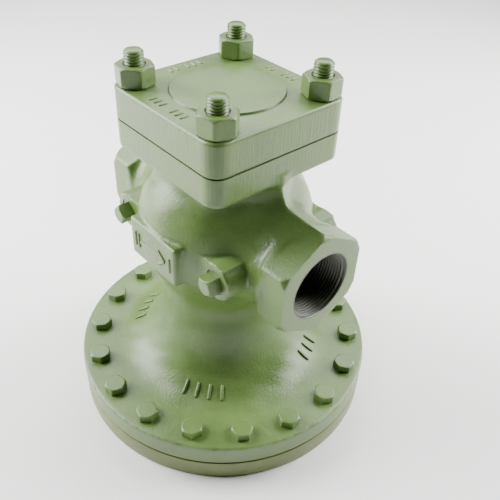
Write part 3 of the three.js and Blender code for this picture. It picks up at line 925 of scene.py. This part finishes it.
@dataclass
class SocketThread:
    """Cut pipe thread of one socket, a liner let into the casting."""

    name: str
    side: float
    depth: float = 28.0
    mouth: float = 23.3
    taper: float = 1 / 32
    pitch: float = 2.209
    height: float = 1.3
    outer: float = 24.6

    def build(self, finishes: Finishes) -> bpy.types.Object:
        """Builds the liner.

        Row s and angle a give the bore: radius = mouth - taper s - height w, where w
        is a triangle wave of s / pitch - a / 2 pi with its crests cut flat, and the
        thread fades out over the first turn at the mouth.
        """
        columns, per_pitch = 144, 10
        rows = int(self.depth / self.pitch * per_pitch)
        s = np.linspace(0.0, self.depth, rows)[:, None]
        a = full_turn(columns)[None, :]
        phase = (s / self.pitch - a / (2 * np.pi)) % 1.0
        wave = np.clip(1.25 * (1.0 - np.abs(2 * phase - 1.0)) - 0.12, 0.0, 1.0)
        lead_in = np.clip(s / (1.2 * self.pitch), 0.0, 1.0)
        radius = self.mouth + 0.35 - self.taper * s - self.height * wave * lead_in
        along = np.broadcast_to(PORT_FACE - s, radius.shape)
        bore = np.stack([along, radius * np.cos(a), radius * np.sin(a)], -1)
        flat = np.full(columns, 1.0)
        rings = [(PORT_FACE - self.depth, self.outer), (PORT_FACE, self.outer), (PORT_FACE, self.mouth + 0.7)]
        shell = [np.stack([flat * x, r * np.cos(a[0]), r * np.sin(a[0])], -1) for x, r in rings]
        grid = np.concatenate([bore, np.stack(shell)])
        grid[..., 0] *= self.side
        if self.side < 0:
            grid = grid[:, ::-1]
        grid[..., 2] += FLOW_Z
        obj = from_grid(self.name, grid, wrap_rows=True, smooth_angle=60.0)
        # The liner's dark finish is painted shade inside the socket.
        return settle(obj, finishes.thread, Slot.CASTING, Moves.BODY)


# ---------------------------------------------------------------- cover and lower case


@dataclass
class Cover:
    """Square cover with a low round pad on top, and the gasket under it."""

    half: float = 53.7
    corner: float = 10.5
    low: float = 225.05
    top: float = COVER_TOP
    pad_radius: float = 37.0
    pad_rise: float = 1.4
    hollow: float = 28.0
    columns: int = 240

    def outline(self, inset: float, turn: np.ndarray) -> np.ndarray:
        """Rounded square moved inwards by inset, at the given angles.

        In each eighth of the square the outline is a straight side up to the start of
        the corner and a quarter circle beyond it, and the point is where the ray at
        that angle meets it.
        """
        half, corner = self.half - inset, max(self.corner - inset, 0.6)
        inner = half - corner
        c, s = np.abs(np.cos(turn)), np.abs(np.sin(turn))
        straight = half / np.maximum(c, s)
        across = np.minimum(c, s) * straight
        # Ray against the corner's circle, whose centre is at (inner, inner).
        along = inner * (c + s)
        reach = along + np.sqrt(np.maximum(along ** 2 - 2 * inner ** 2 + corner ** 2, 0.0))
        return np.where(across > inner, reach, straight)

    def grid(self, rings: list[tuple[float, bool, float]]) -> np.ndarray:
        """Carries rings round the stem's axis.

        Args:
            rings: (inset, is_round, z). A round ring is a circle of radius inset. Any
                other follows the square outline moved in by inset.

        Returns:
            Array of shape (rings, columns, 3).
        """
        turn = full_turn(self.columns)
        return np.stack([round_axis(inset if is_round else self.outline(inset, turn), turn, z)
                         for inset, is_round, z in rings])

    def build(self, finishes: Finishes) -> None:
        """Builds cover and gasket."""
        pad, low, top, face = self.pad_radius, self.low, self.top, self.top + self.pad_rise
        rings = [(0.01, True, low + 9), (self.hollow - 1.5, True, low + 9), (self.hollow, True, low + 7.5),
                 (self.hollow, True, low), (pad, True, low)]
        rings += [(0.5, False, low), (0.15, False, low + 0.15), (0.0, False, low + 0.5)]
        rings += [(0.02 * i, False, z) for i, z in enumerate(np.linspace(low + 1.5, top - 2.4, 6))]
        turn = np.linspace(0.0, math.pi / 2, 6)
        rings += [(0.12 + 2.0 * (1 - math.cos(t)), False, top - 2.0 + 2.0 * math.sin(t)) for t in turn]
        rings += [(4.5, False, top), (pad + 0.7, True, top), (pad + 0.15, True, top + 0.08),
                  (pad - 0.3, True, top + 0.9), (pad - 0.6, True, face - 0.1)]
        rings += [(r, True, face) for r in (pad - 1.2, 28.0, 20.0, 12.0, 5.0, 0.01)]
        obj = from_grid("cover_fine", self.grid(rings), smooth_angle=40.0)
        settle(obj, finishes.casting, Slot.CASTING, Moves.BODY, "cover")
        obj.data.materials.append(finishes.ground)
        upright = np.abs(face_data(obj, "normal")[:, 2]) < 0.5
        outer = np.hypot(*face_data(obj, "center")[:, :2].T) > 45 * MM
        obj.data.polygons.foreach_set("material_index", (upright & outer).astype(np.int32))
        low, high = span("cover_gasket")
        sheet = [(34.0, True, low[2]), (0.9, False, low[2]), (0.9, False, high[2]), (34.0, True, high[2])]
        gasket = from_grid("cover_gasket_fine", self.grid(sheet), wrap_rows=True)
        settle(gasket, finishes.gasket, Slot.GASKET, Moves.BODY, "cover_gasket")


@dataclass
class LowerCase:
    """Round lower case under the diaphragm."""

    radius: float = 115.6
    port: float = 7.0
    floor: float = 6.7
    dish: float = 72.0
    bend: float = 83.5

    def build(self, finishes: Finishes) -> bpy.types.Object:
        """Builds the case with its dish and the loading port."""
        _, high = span("lower_diaphragm_case")
        top = high[2]
        profile = [(self.port, 0.0), (self.radius, 0.0), (self.radius, top), (self.bend, top),
                   (self.dish, self.floor), (self.port, self.floor)]
        obj = turned("lower_diaphragm_case_fine", profile, 1.3, 240, ring=True)
        return settle(obj, finishes.lower, Slot.CASTING, Moves.BODY, "lower_diaphragm_case")


# ---------------------------------------------------------------- fasteners


@dataclass
class Thread:
    """Outside thread of a stud or screw, as a helical ridge."""

    crest: float
    pitch: float
    depth: float

    def radius(self, z: np.ndarray, angle: np.ndarray) -> np.ndarray:
        """Crest radius less a rounded groove that climbs one pitch a turn."""
        phase = z / self.pitch - angle / (2 * np.pi)
        groove = 0.5 + 0.5 * np.cos(2 * np.pi * phase)
        return self.crest - self.depth * groove ** 1.3


@dataclass
class CoverStuds:
    """Four studs of the cover, threaded at the top, with their nuts."""

    thread: Thread = field(default_factory=lambda: Thread(6.35, 1.954, 0.85))
    flats: float = 22.5
    columns: int = 72
    thread_from: float = 244.0
    nut_turns: tuple[float, ...] = (6.0, 58.0, 15.0, 41.0)

    def stud(self, name: str, x: float, y: float, finishes: Finishes) -> bpy.types.Object:
        """Builds one stud: row z and angle a give the thread's radius, tapered at the ends."""
        low, high = span(name)
        angle = full_turn(self.columns)
        z = np.concatenate([[low[2]], np.linspace(low[2] + 1.2, self.thread_from, 12),
                            np.arange(self.thread_from + 0.3, high[2], 0.2), [high[2]]])
        grip = np.clip((z - self.thread_from) / 2.0, 0.0, 1.0)[:, None]
        cut = self.thread.radius(z[:, None], angle[None, :])
        radius = self.thread.crest * (1 - grip) + cut * grip
        point = np.minimum((high[2] - z) * 1.1 + 5.0, (z - low[2]) * 1.0 + 5.2)[:, None]
        radius = soft_min(radius, np.broadcast_to(point, radius.shape), 0.25)
        z_all = np.concatenate([[low[2]], z, [high[2]]])
        axis = np.zeros((1, self.columns))
        radius = np.concatenate([axis, radius, axis])
        obj = from_grid(f"{name}_fine", round_axis(radius, angle, z_all[:, None], x, y), smooth_angle=50.0)
        return settle(obj, finishes.fastener, Slot.FASTENER, Moves.BODY, name)

    def build(self, finishes: Finishes) -> None:
        """Builds studs and nuts."""
        for number, turn in enumerate(self.nut_turns, start=1):
            stud, nut = f"cover_stud_{number}", f"cover_nut_{number}"
            x, y, _ = middle(stud)
            self.stud(stud, x, y, finishes)
            low, high = span(nut)
            head = HexBlank(self.flats, low[2], high[2], hole=self.thread.crest - 0.1, both_ends=True)
            obj = head.build(f"{nut}_fine", x, y, turn)
            settle(obj, finishes.fastener, Slot.FASTENER, Moves.BODY, nut)


@dataclass
class HexBlank:
    """Hexagonal or square block with its corners turned back by a cone."""

    flats: float
    low: float
    high: float
    hole: float = 0.0
    both_ends: bool = False
    sides: int = 6
    columns: int = 96
    shank: float = 0.0
    shank_low: float = 0.0

    def radius(self, z: np.ndarray, angle: np.ndarray) -> np.ndarray:
        """Distance from the axis at each level and angle.

        It is the smaller of the polygon's side and a cone at 30 degrees to the end
        face, with the crossing softened as paint softens it.
        """
        side = polygon_radius(angle, self.flats, self.sides, 48.0)[None, :]
        cone = self.flats * 0.475 + (self.high - z[:, None]) * 1.73
        if self.both_ends:
            cone = np.minimum(cone, self.flats * 0.485 + (z[:, None] - self.low) * 1.73)
        return soft_min(*np.broadcast_arrays(side, cone), 0.35)

    def grid(self) -> np.ndarray:
        """Points about the upright axis, bottom to top."""
        angle = full_turn(self.columns)
        height = self.high - self.low
        z = self.low + height * np.concatenate([[0.0, 0.04, 0.10, 0.18], np.linspace(0.3, 0.7, 4),
                                                np.linspace(0.76, 1.0, 9)])
        radius = self.radius(z, angle)
        rows = [(radius[i], z[i]) for i in range(len(z))]
        rows.append((radius[-1] - 0.5, self.high))
        inner = self.hole
        flat = np.ones(self.columns)
        if self.hole:
            rows.append((flat * (inner + 1.0), self.high))
            rows.append((flat * (inner + 0.8), self.high - 0.9))
            rows.append((flat * inner, self.high - 1.5))
            rows.append((flat * inner, self.low + 0.6))
            rows.append((flat * (inner + 0.6), self.low))
        else:
            rows.append((flat * self.flats * 0.2, self.high))
            rows.append((flat * 0.0, self.high))
            if self.shank:
                rows = [(flat * 0.0, self.shank_low), (flat * (self.shank - 0.8), self.shank_low),
                        (flat * self.shank, self.shank_low + 0.8), (flat * self.shank, self.low), *rows]
            else:
                rows = [(flat * 0.0, self.low), *rows]
        return np.stack([round_axis(r, angle, level) for r, level in rows])

    def spun(self, turn: float) -> tuple[np.ndarray, np.ndarray, np.ndarray]:
        """The grid's three coordinates after a rotation about the axis, in degrees."""
        grid = self.grid()
        c, s = math.cos(math.radians(turn)), math.sin(math.radians(turn))
        return grid[..., 0] * c - grid[..., 1] * s, grid[..., 0] * s + grid[..., 1] * c, grid[..., 2]

    def build(self, name: str, x: float, y: float, turn: float) -> bpy.types.Object:
        """Places the block.

        Args:
            name: name of the piece.
            x: place of its axis.
            y: place of its axis.
            turn: rotation about its axis, in degrees.

        Returns:
            The object.
        """
        u, v, level = self.spun(turn)
        grid = np.stack([x + u, y + v, level], -1)
        return from_grid(name, grid, wrap_rows=bool(self.hole), smooth_angle=38.0)


@dataclass
class CaseScrews:
    """Hexagon head cap screws of the round flange."""

    count: int = 18
    flats: float = 14.3
    head: float = 6.0
    shank: float = 4.76

    def build(self, finishes: Finishes) -> None:
        """Builds each screw at its own angle."""
        for number in range(1, self.count + 1):
            node = f"case_screw_{number:02d}"
            low, high = span(node)
            axis = math.radians(SCREW_FIRST + SCREW_STEP * (number - 1))
            x, y = SCREW_CIRCLE * math.cos(axis), SCREW_CIRCLE * math.sin(axis)
            head = HexBlank(self.flats, high[2] - self.head, high[2], columns=72, shank=self.shank,
                            shank_low=low[2])
            obj = head.build(f"{node}_fine", x, y, (number * 37.0) % 60.0)
            settle(obj, finishes.fastener, Slot.FASTENER, Moves.BODY, node)


@dataclass
class PipePlugs:
    """Square-head pipe plugs in the pilot taps, pointing to -Y."""

    flats: float = 11.1
    head: float = 9.0
    thread: float = 8.4
    depth: float = 13.0
    face: float = 50.0

    def build(self, finishes: Finishes) -> None:
        """Builds both plugs: an upright block laid over so that its end faces -Y."""
        for name, x, turn in (("plug_inlet", -50.0, 52.0), ("plug_outlet", 50.0, 12.0)):
            block = HexBlank(self.flats, -0.6, self.head, sides=4, shank=self.thread, shank_low=-self.depth,
                             columns=96)
            u, v, level = block.spun(turn)
            laid = np.stack([x + u, -self.face - level, FLOW_Z + v], -1)
            obj = from_grid(f"{name}_fine", laid, smooth_angle=38.0)
            settle(obj, finishes.fastener, Slot.FASTENER, Moves.BODY, name)


# ---------------------------------------------------------------- inner pieces


@dataclass
class InnerPieces:
    """Trim of the valve: seat, disc, stem, plate, spring and diaphragm."""

    travel: float = 9.0

    def build_fixed(self, finishes: Finishes) -> None:
        """Seat ring, stem guide and spring seat, which stay with the body."""
        low, high = span("spring_seat")
        seat = [(16.0, 146.0), (19.9, 146.0), (19.9, 158.3), (25.0, 158.3), (25.0, 161.5), (19.0, 161.5),
                (18.0, 164.3), (16.0, 164.3)]
        guide = [(7.3, 82.0), (11.7, 82.0), (11.7, 116.3), (15.0, 116.3), (15.0, 120.3), (10.7, 124.0),
                 (7.3, 124.0)]
        washer = [(12.0, low[2]), (25.0, low[2]), (25.0, high[2]), (12.0, high[2])]
        for node, profile, corner, columns, finish, slot in (
                ("seat_ring", seat, 0.35, 96, finishes.stainless, Slot.STAINLESS),
                ("stem_guide", guide, 0.4, 72, finishes.bronze, Slot.BRONZE),
                ("spring_seat", washer, 0.4, 96, finishes.stainless, Slot.STAINLESS)):
            obj = turned(f"{node}_fine", profile, corner, columns, ring=True)
            settle(obj, finish, slot, Moves.BODY, node)

    def build_lifting(self, finishes: Finishes) -> None:
        """Pressure plate, stem, disc and both nuts, which move together."""
        plate = [(0.0, 8.4), (68.0, 8.4), (68.0, 13.6), (28.0, 15.0), (16.0, 15.0), (16.0, 22.0), (6.3, 22.0),
                 (6.3, 12.3), (0.0, 12.3)]
        stem = [(0.0, 12.6), (6.0, 12.6), (6.0, 29.6), (7.0, 30.6), (7.0, 164.3), (6.0, 164.3), (6.0, 187.0),
                (5.0, 188.0), (0.0, 188.0)]
        disc = [(6.3, 164.6), (20.5, 164.6), (20.5, 171.6), (13.5, 175.6), (6.3, 175.6)]
        for node, profile, corner, columns, ring in (
                ("pressure_plate", plate, 0.6, 120, False),
                ("valve_stem", stem, 0.3, 60, False),
                ("valve_disc", disc, 0.4, 96, True)):
            obj = turned(f"{node}_fine", profile, corner, columns, ring=ring)
            settle(obj, finishes.stainless, Slot.STAINLESS, Moves.LIFT, node)
        for node, turn in (("stem_lock_nut", 10.0), ("disc_nut", 25.0)):
            low, high = span(node)
            nut = HexBlank(19.0, low[2], high[2], hole=6.3, both_ends=True, columns=72)
            obj = nut.build(f"{node}_fine", 0.0, 0.0, turn)
            settle(obj, finishes.stainless, Slot.STAINLESS, Moves.LIFT, node)

    def spring(self, finishes: Finishes) -> bpy.types.Object:
        """Compression spring: a round wire carried along a helix whose end turns close up.

        Along the wire t goes from 0 to 1, the angle is 2 pi turns t, and the level is
        low + rise (t - 0.55 sin(2 pi t) / 2 pi).
        """
        low, high = span("main_spring")
        wire, radius, turns = 2.5, 20.0, 5.5
        t = np.linspace(0.0, 1.0, 260)[:, None]
        start, rise = low[2] + wire, high[2] - low[2] - 2 * wire
        around = 2 * np.pi * turns * t
        level = start + rise * (t - np.sin(2 * np.pi * t) / (2 * np.pi) * 0.55)
        section = full_turn(16)[None, :]
        ends = np.concatenate([[0.0], np.ones(len(t) - 2), [0.0]])[:, None]
        out = radius + wire * ends * np.cos(section)
        grid = round_axis(out, around, level - wire * ends * np.sin(section))
        obj = from_grid("main_spring_fine", grid, smooth_angle=60.0)
        settle(obj, finishes.spring, Slot.SPRING, Moves.BODY, "main_spring")
        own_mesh(obj)
        return obj

    def ply(self, node: str, finishes: Finishes) -> bpy.types.Object:
        """One diaphragm ply: a flat middle, a cone that climbs 9.5 mm, and a flat rim."""
        low, high = span(node)
        thick = 0.4
        r = np.concatenate([np.linspace(0.0, 68.0, 14), np.linspace(69.0, 86.0, 40),
                            np.linspace(88.0, 114.6, 8)])
        climb = np.clip((r - 71.0) / 12.0, 0.0, 1.0)
        level = high[2] - thick - 9.5 * (1 - climb)
        radius = np.concatenate([r, r[::-1]])[:, None]
        z = np.concatenate([level, level[::-1] + thick])[:, None]
        obj = from_grid(f"{node}_fine", round_axis(radius, full_turn(180), z), smooth_angle=50.0)
        settle(obj, finishes.bronze, Slot.BRONZE, Moves.BODY, node)
        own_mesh(obj)
        return obj

    def build(self, finishes: Finishes) -> None:
        """Builds all the trim."""
        self.build_fixed(finishes)
        self.build_lifting(finishes)
        self.spring(finishes)
        for node in ("diaphragm_lower", "diaphragm_upper"):
            self.ply(node, finishes)


# ---------------------------------------------------------------- raised casting marks


@dataclass
class CastMarks:
    """Raised strokes on the casting: a flow arrow on the name pad and plain tally strokes.

    Each stroke is a low half-round bead carried along a straight line that lies on the
    surface.
    """

    width: float = 2.4
    height: float = 1.0

    def bead(self, start: np.ndarray, end: np.ndarray, up: np.ndarray, width: float,
             height: float) -> tuple[np.ndarray, np.ndarray]:
        """Points and faces of one bead.

        Args:
            start: one end of its middle line.
            end: the other end.
            up: direction out of the surface.
            width: full width of the bead.
            height: how far it stands up.

        Returns:
            Points and four-sided faces.
        """
        length = np.linalg.norm(end - start)
        along = (end - start) / length
        side = np.cross(up, along)
        t = np.concatenate([np.linspace(0, 1, 5) * width / 2, length - np.linspace(1, 0, 5) * width / 2])
        ends = np.minimum(t, length - t) / (width / 2)
        swell = np.sqrt(np.clip(1 - (1 - np.minimum(ends, 1.0)) ** 2, 0.0, 1.0))
        around = full_turn(16)
        across = np.cos(around)
        lift = np.where(np.sin(around) > 0, np.sin(around) * height, np.sin(around) * 1.2)
        full = swell[:, None, None]
        grid = (start + along * t[:, None, None] + side * (across * width / 2)[None, :, None] * full
                + up * lift[None, :, None] * full)
        faces = grid_faces(len(t), 16, False, True)
        return close_poles(grid.reshape(-1, 3), faces)

    def join(self, name: str, beads: list[tuple[np.ndarray, np.ndarray]],
             finishes: Finishes) -> bpy.types.Object:
        """Joins beads into one piece."""
        points, faces, first = [], [], 0
        for p, f in beads:
            points.append(p)
            faces.append(f + first)
            first += len(p)
        obj = new_object(name, np.concatenate(points), np.concatenate(faces), 60.0)
        return settle(obj, finishes.casting, Slot.CASTING, Moves.BODY)

    def build(self, finishes: Finishes) -> None:
        """Builds the arrow on the name pad, and strokes on the bell and the cover."""
        self.arrow(finishes)
        self.bell_strokes(finishes)
        self.cover_strokes(finishes)

    def arrow(self, finishes: Finishes) -> None:
        """A flow arrow towards the outlet, between two pairs of strokes."""
        out = np.array([0.0, -1.0, 0.0])
        face, level = -63.6, 149.0
        lines = [((-14.0, 0.0), (14.5, 0.0)), ((7.0, 6.0), (14.5, 0.0)), ((7.0, -6.0), (14.5, 0.0)),
                 ((-19.5, -6.0), (-19.5, 6.0)), ((-15.5, -6.0), (-15.5, 6.0)), ((19.5, -6.0), (19.5, 6.0))]
        beads = [self.bead(np.array([a[0], face, level + a[1]]), np.array([b[0], face, level + b[1]]), out,
                           self.width, self.height) for a, b in lines]
        self.join("pad_flow_arrow", beads, finishes)

    def bell_strokes(self, finishes: Finishes) -> None:
        """Groups of plain strokes on the slope of the bell, where foundries put their tallies."""
        beads = []
        for middle_turn, count in ((-52.0, 4), (-148.0, 4), (30.0, 3)):
            for i in range(count):
                turn = math.radians(middle_turn + (i - (count - 1) / 2) * 7.5)
                ends = []
                for r in (66.0, 76.0):
                    ends.append(np.array([r * math.cos(turn), r * math.sin(turn), self.bell_level(r)]))
                slope = (ends[1] - ends[0]) / np.linalg.norm(ends[1] - ends[0])
                tangent = np.array([-math.sin(turn), math.cos(turn), 0.0])
                up = np.cross(slope, tangent)
                beads.append(self.bead(ends[0], ends[1], up, self.width, self.height + 0.2))
        self.join("bell_tally_strokes", beads, finishes)

    def bell_level(self, r: float) -> float:
        """Height of the bell's outside at radius r, from its quarter ellipse."""
        across = (r - BELL_CENTRE[0]) / BELL_REACH[0]
        return BELL_CENTRE[1] - BELL_REACH[1] * math.sqrt(max(0.0, 1 - across ** 2))

    def cover_strokes(self, finishes: Finishes) -> None:
        """Short strokes along three edges of the cover's top."""
        up = np.array([0.0, 0.0, 1.0])
        beads = []
        for edge_turn, offsets in ((-90.0, (-16, -11, -6, 5, 10, 15)), (180.0, (-12, -7, -2, 7, 12)),
                                   (90.0, (-14, -9, -4, 6, 11))):
            c, s = math.cos(math.radians(edge_turn)), math.sin(math.radians(edge_turn))
            for along in offsets:
                ends = [np.array([r * c - along * s, r * s + along * c, COVER_TOP]) for r in (41.5, 48.0)]
                beads.append(self.bead(*ends, up, 2.0, 0.8))
        self.join("cover_tally_strokes", beads, finishes)


# ---------------------------------------------------------------- camera, floor and light


@dataclass
class Studio:
    """Camera, pale floor and soft light."""

    eye: tuple[float, float, float] = (0.2771, -0.2306, 0.4059)
    heading: float = -47.64
    pitch: float = 38.495
    roll: float = 2.42
    lens: float = 44.03
    shift: float = 0.0055

    def stand(self, data: bpy.types.ID, axes: Sequence[np.ndarray],
              place: Sequence[float]) -> bpy.types.Object:
        """Puts a camera or light in the scene, with its right, up and backward directions."""
        obj = bpy.data.objects.new(data.name, data)
        matrix = np.eye(4)
        matrix[:3, :3] = np.stack(axes, axis=1)
        matrix[:3, 3] = place
        obj.matrix_world = Matrix(matrix.tolist())
        bpy.context.scene.collection.objects.link(obj)
        return obj

    def camera(self) -> None:
        """Camera at the eye point, looking down at the valve.

        Heading is measured clockwise from +Y, pitch is downwards, and roll turns the
        picture about the line of sight.
        """
        y, p, r = (math.radians(v) for v in (self.heading, self.pitch, self.roll))
        ahead = np.array([math.sin(y) * math.cos(p), math.cos(y) * math.cos(p), -math.sin(p)])
        level = np.array([math.cos(y), -math.sin(y), 0.0])
        upright = np.cross(level, ahead)
        right = math.cos(r) * level + math.sin(r) * upright
        up = -math.sin(r) * level + math.cos(r) * upright
        data = bpy.data.cameras.new("studio_camera")
        data.lens = self.lens
        data.sensor_width = 36.0
        data.shift_x = self.shift
        data.clip_start = 0.01  # metres
        bpy.context.scene.camera = self.stand(data, (right, up, -ahead), self.eye)

    def floor(self) -> None:
        """White matt floor."""
        size = 3000.0
        points = np.array([[-size, -size, 0.0], [size, -size, 0.0], [size, size, 0.0], [-size, size, 0.0]])
        obj = new_object("floor", points, np.array([[0, 1, 2, 3]]))
        made = bpy.data.materials.new("matt_white_paper")
        made.use_nodes = True
        shader = made.node_tree.nodes["Principled BSDF"]
        shader.inputs["Base Color"].default_value = linear("#fdfdfb")
        shader.inputs["Roughness"].default_value = 0.9
        obj.data.materials.append(made)

    def softbox(self, name: str, place: tuple[float, float, float], size: tuple[float, float], watts: float,
                aim: tuple[float, float, float] = (0.0, 0.0, 0.12)) -> None:
        """A rectangular soft light.

        Args:
            name: its name.
            place: where it stands, in metres.
            size: its width and height, in metres.
            watts: its power.
            aim: the point it faces.
        """
        data = bpy.data.lights.new(name, "AREA")
        data.shape = "RECTANGLE"
        data.size, data.size_y = size
        data.energy = watts
        ahead = np.array(aim) - np.array(place)
        ahead = ahead / np.linalg.norm(ahead)
        right = np.cross(ahead, [0.0, 0.0, 1.0])
        right = right / np.linalg.norm(right)
        self.stand(data, (right, np.cross(right, ahead), -ahead), place)

    def around(self, turn: float, distance: float, height: float) -> tuple[float, float, float]:
        """A place at this angle from the camera's side of the valve, anticlockwise from above."""
        base = math.atan2(self.eye[1], self.eye[0]) + math.radians(turn)
        return distance * math.cos(base), distance * math.sin(base), height

    def light(self) -> None:
        """Soft light from both sides and from above behind, with little from the camera's side."""
        self.softbox("left_softbox", self.around(-104, 0.9, 0.62), (0.6, 1.0), 34.0)
        self.softbox("right_softbox", self.around(106, 0.9, 0.62), (0.6, 1.0), 28.0)
        self.softbox("top_softbox", self.around(180, 1.0, 1.25), (1.8, 1.0), 33.0)
        world = bpy.data.worlds.new("pale_room")
        world.use_nodes = True
        world.node_tree.nodes["Background"].inputs["Color"].default_value = linear("#f2f4f4")
        world.node_tree.nodes["Background"].inputs["Strength"].default_value = 0.04
        bpy.context.scene.world = world

    def build(self) -> None:
        """Sets up camera, floor and light."""
        self.camera()
        self.floor()
        self.light()


# ---------------------------------------------------------------- everything in order


def main() -> None:
    logging.basicConfig(level=logging.INFO, format="%(name)s %(message)s")
    Studio().build()
    finishes = Finishes()
    BodyCasting().build(finishes)
    SocketThread("outlet_socket_thread", 1.0).build(finishes)
    SocketThread("inlet_socket_thread", -1.0).build(finishes)
    Cover().build(finishes)
    LowerCase().build(finishes)
    CoverStuds().build(finishes)
    CaseScrews().build(finishes)
    PipePlugs().build(finishes)
    InnerPieces().build(finishes)
    CastMarks().build(finishes)


if __name__ == "__main__":
    main()
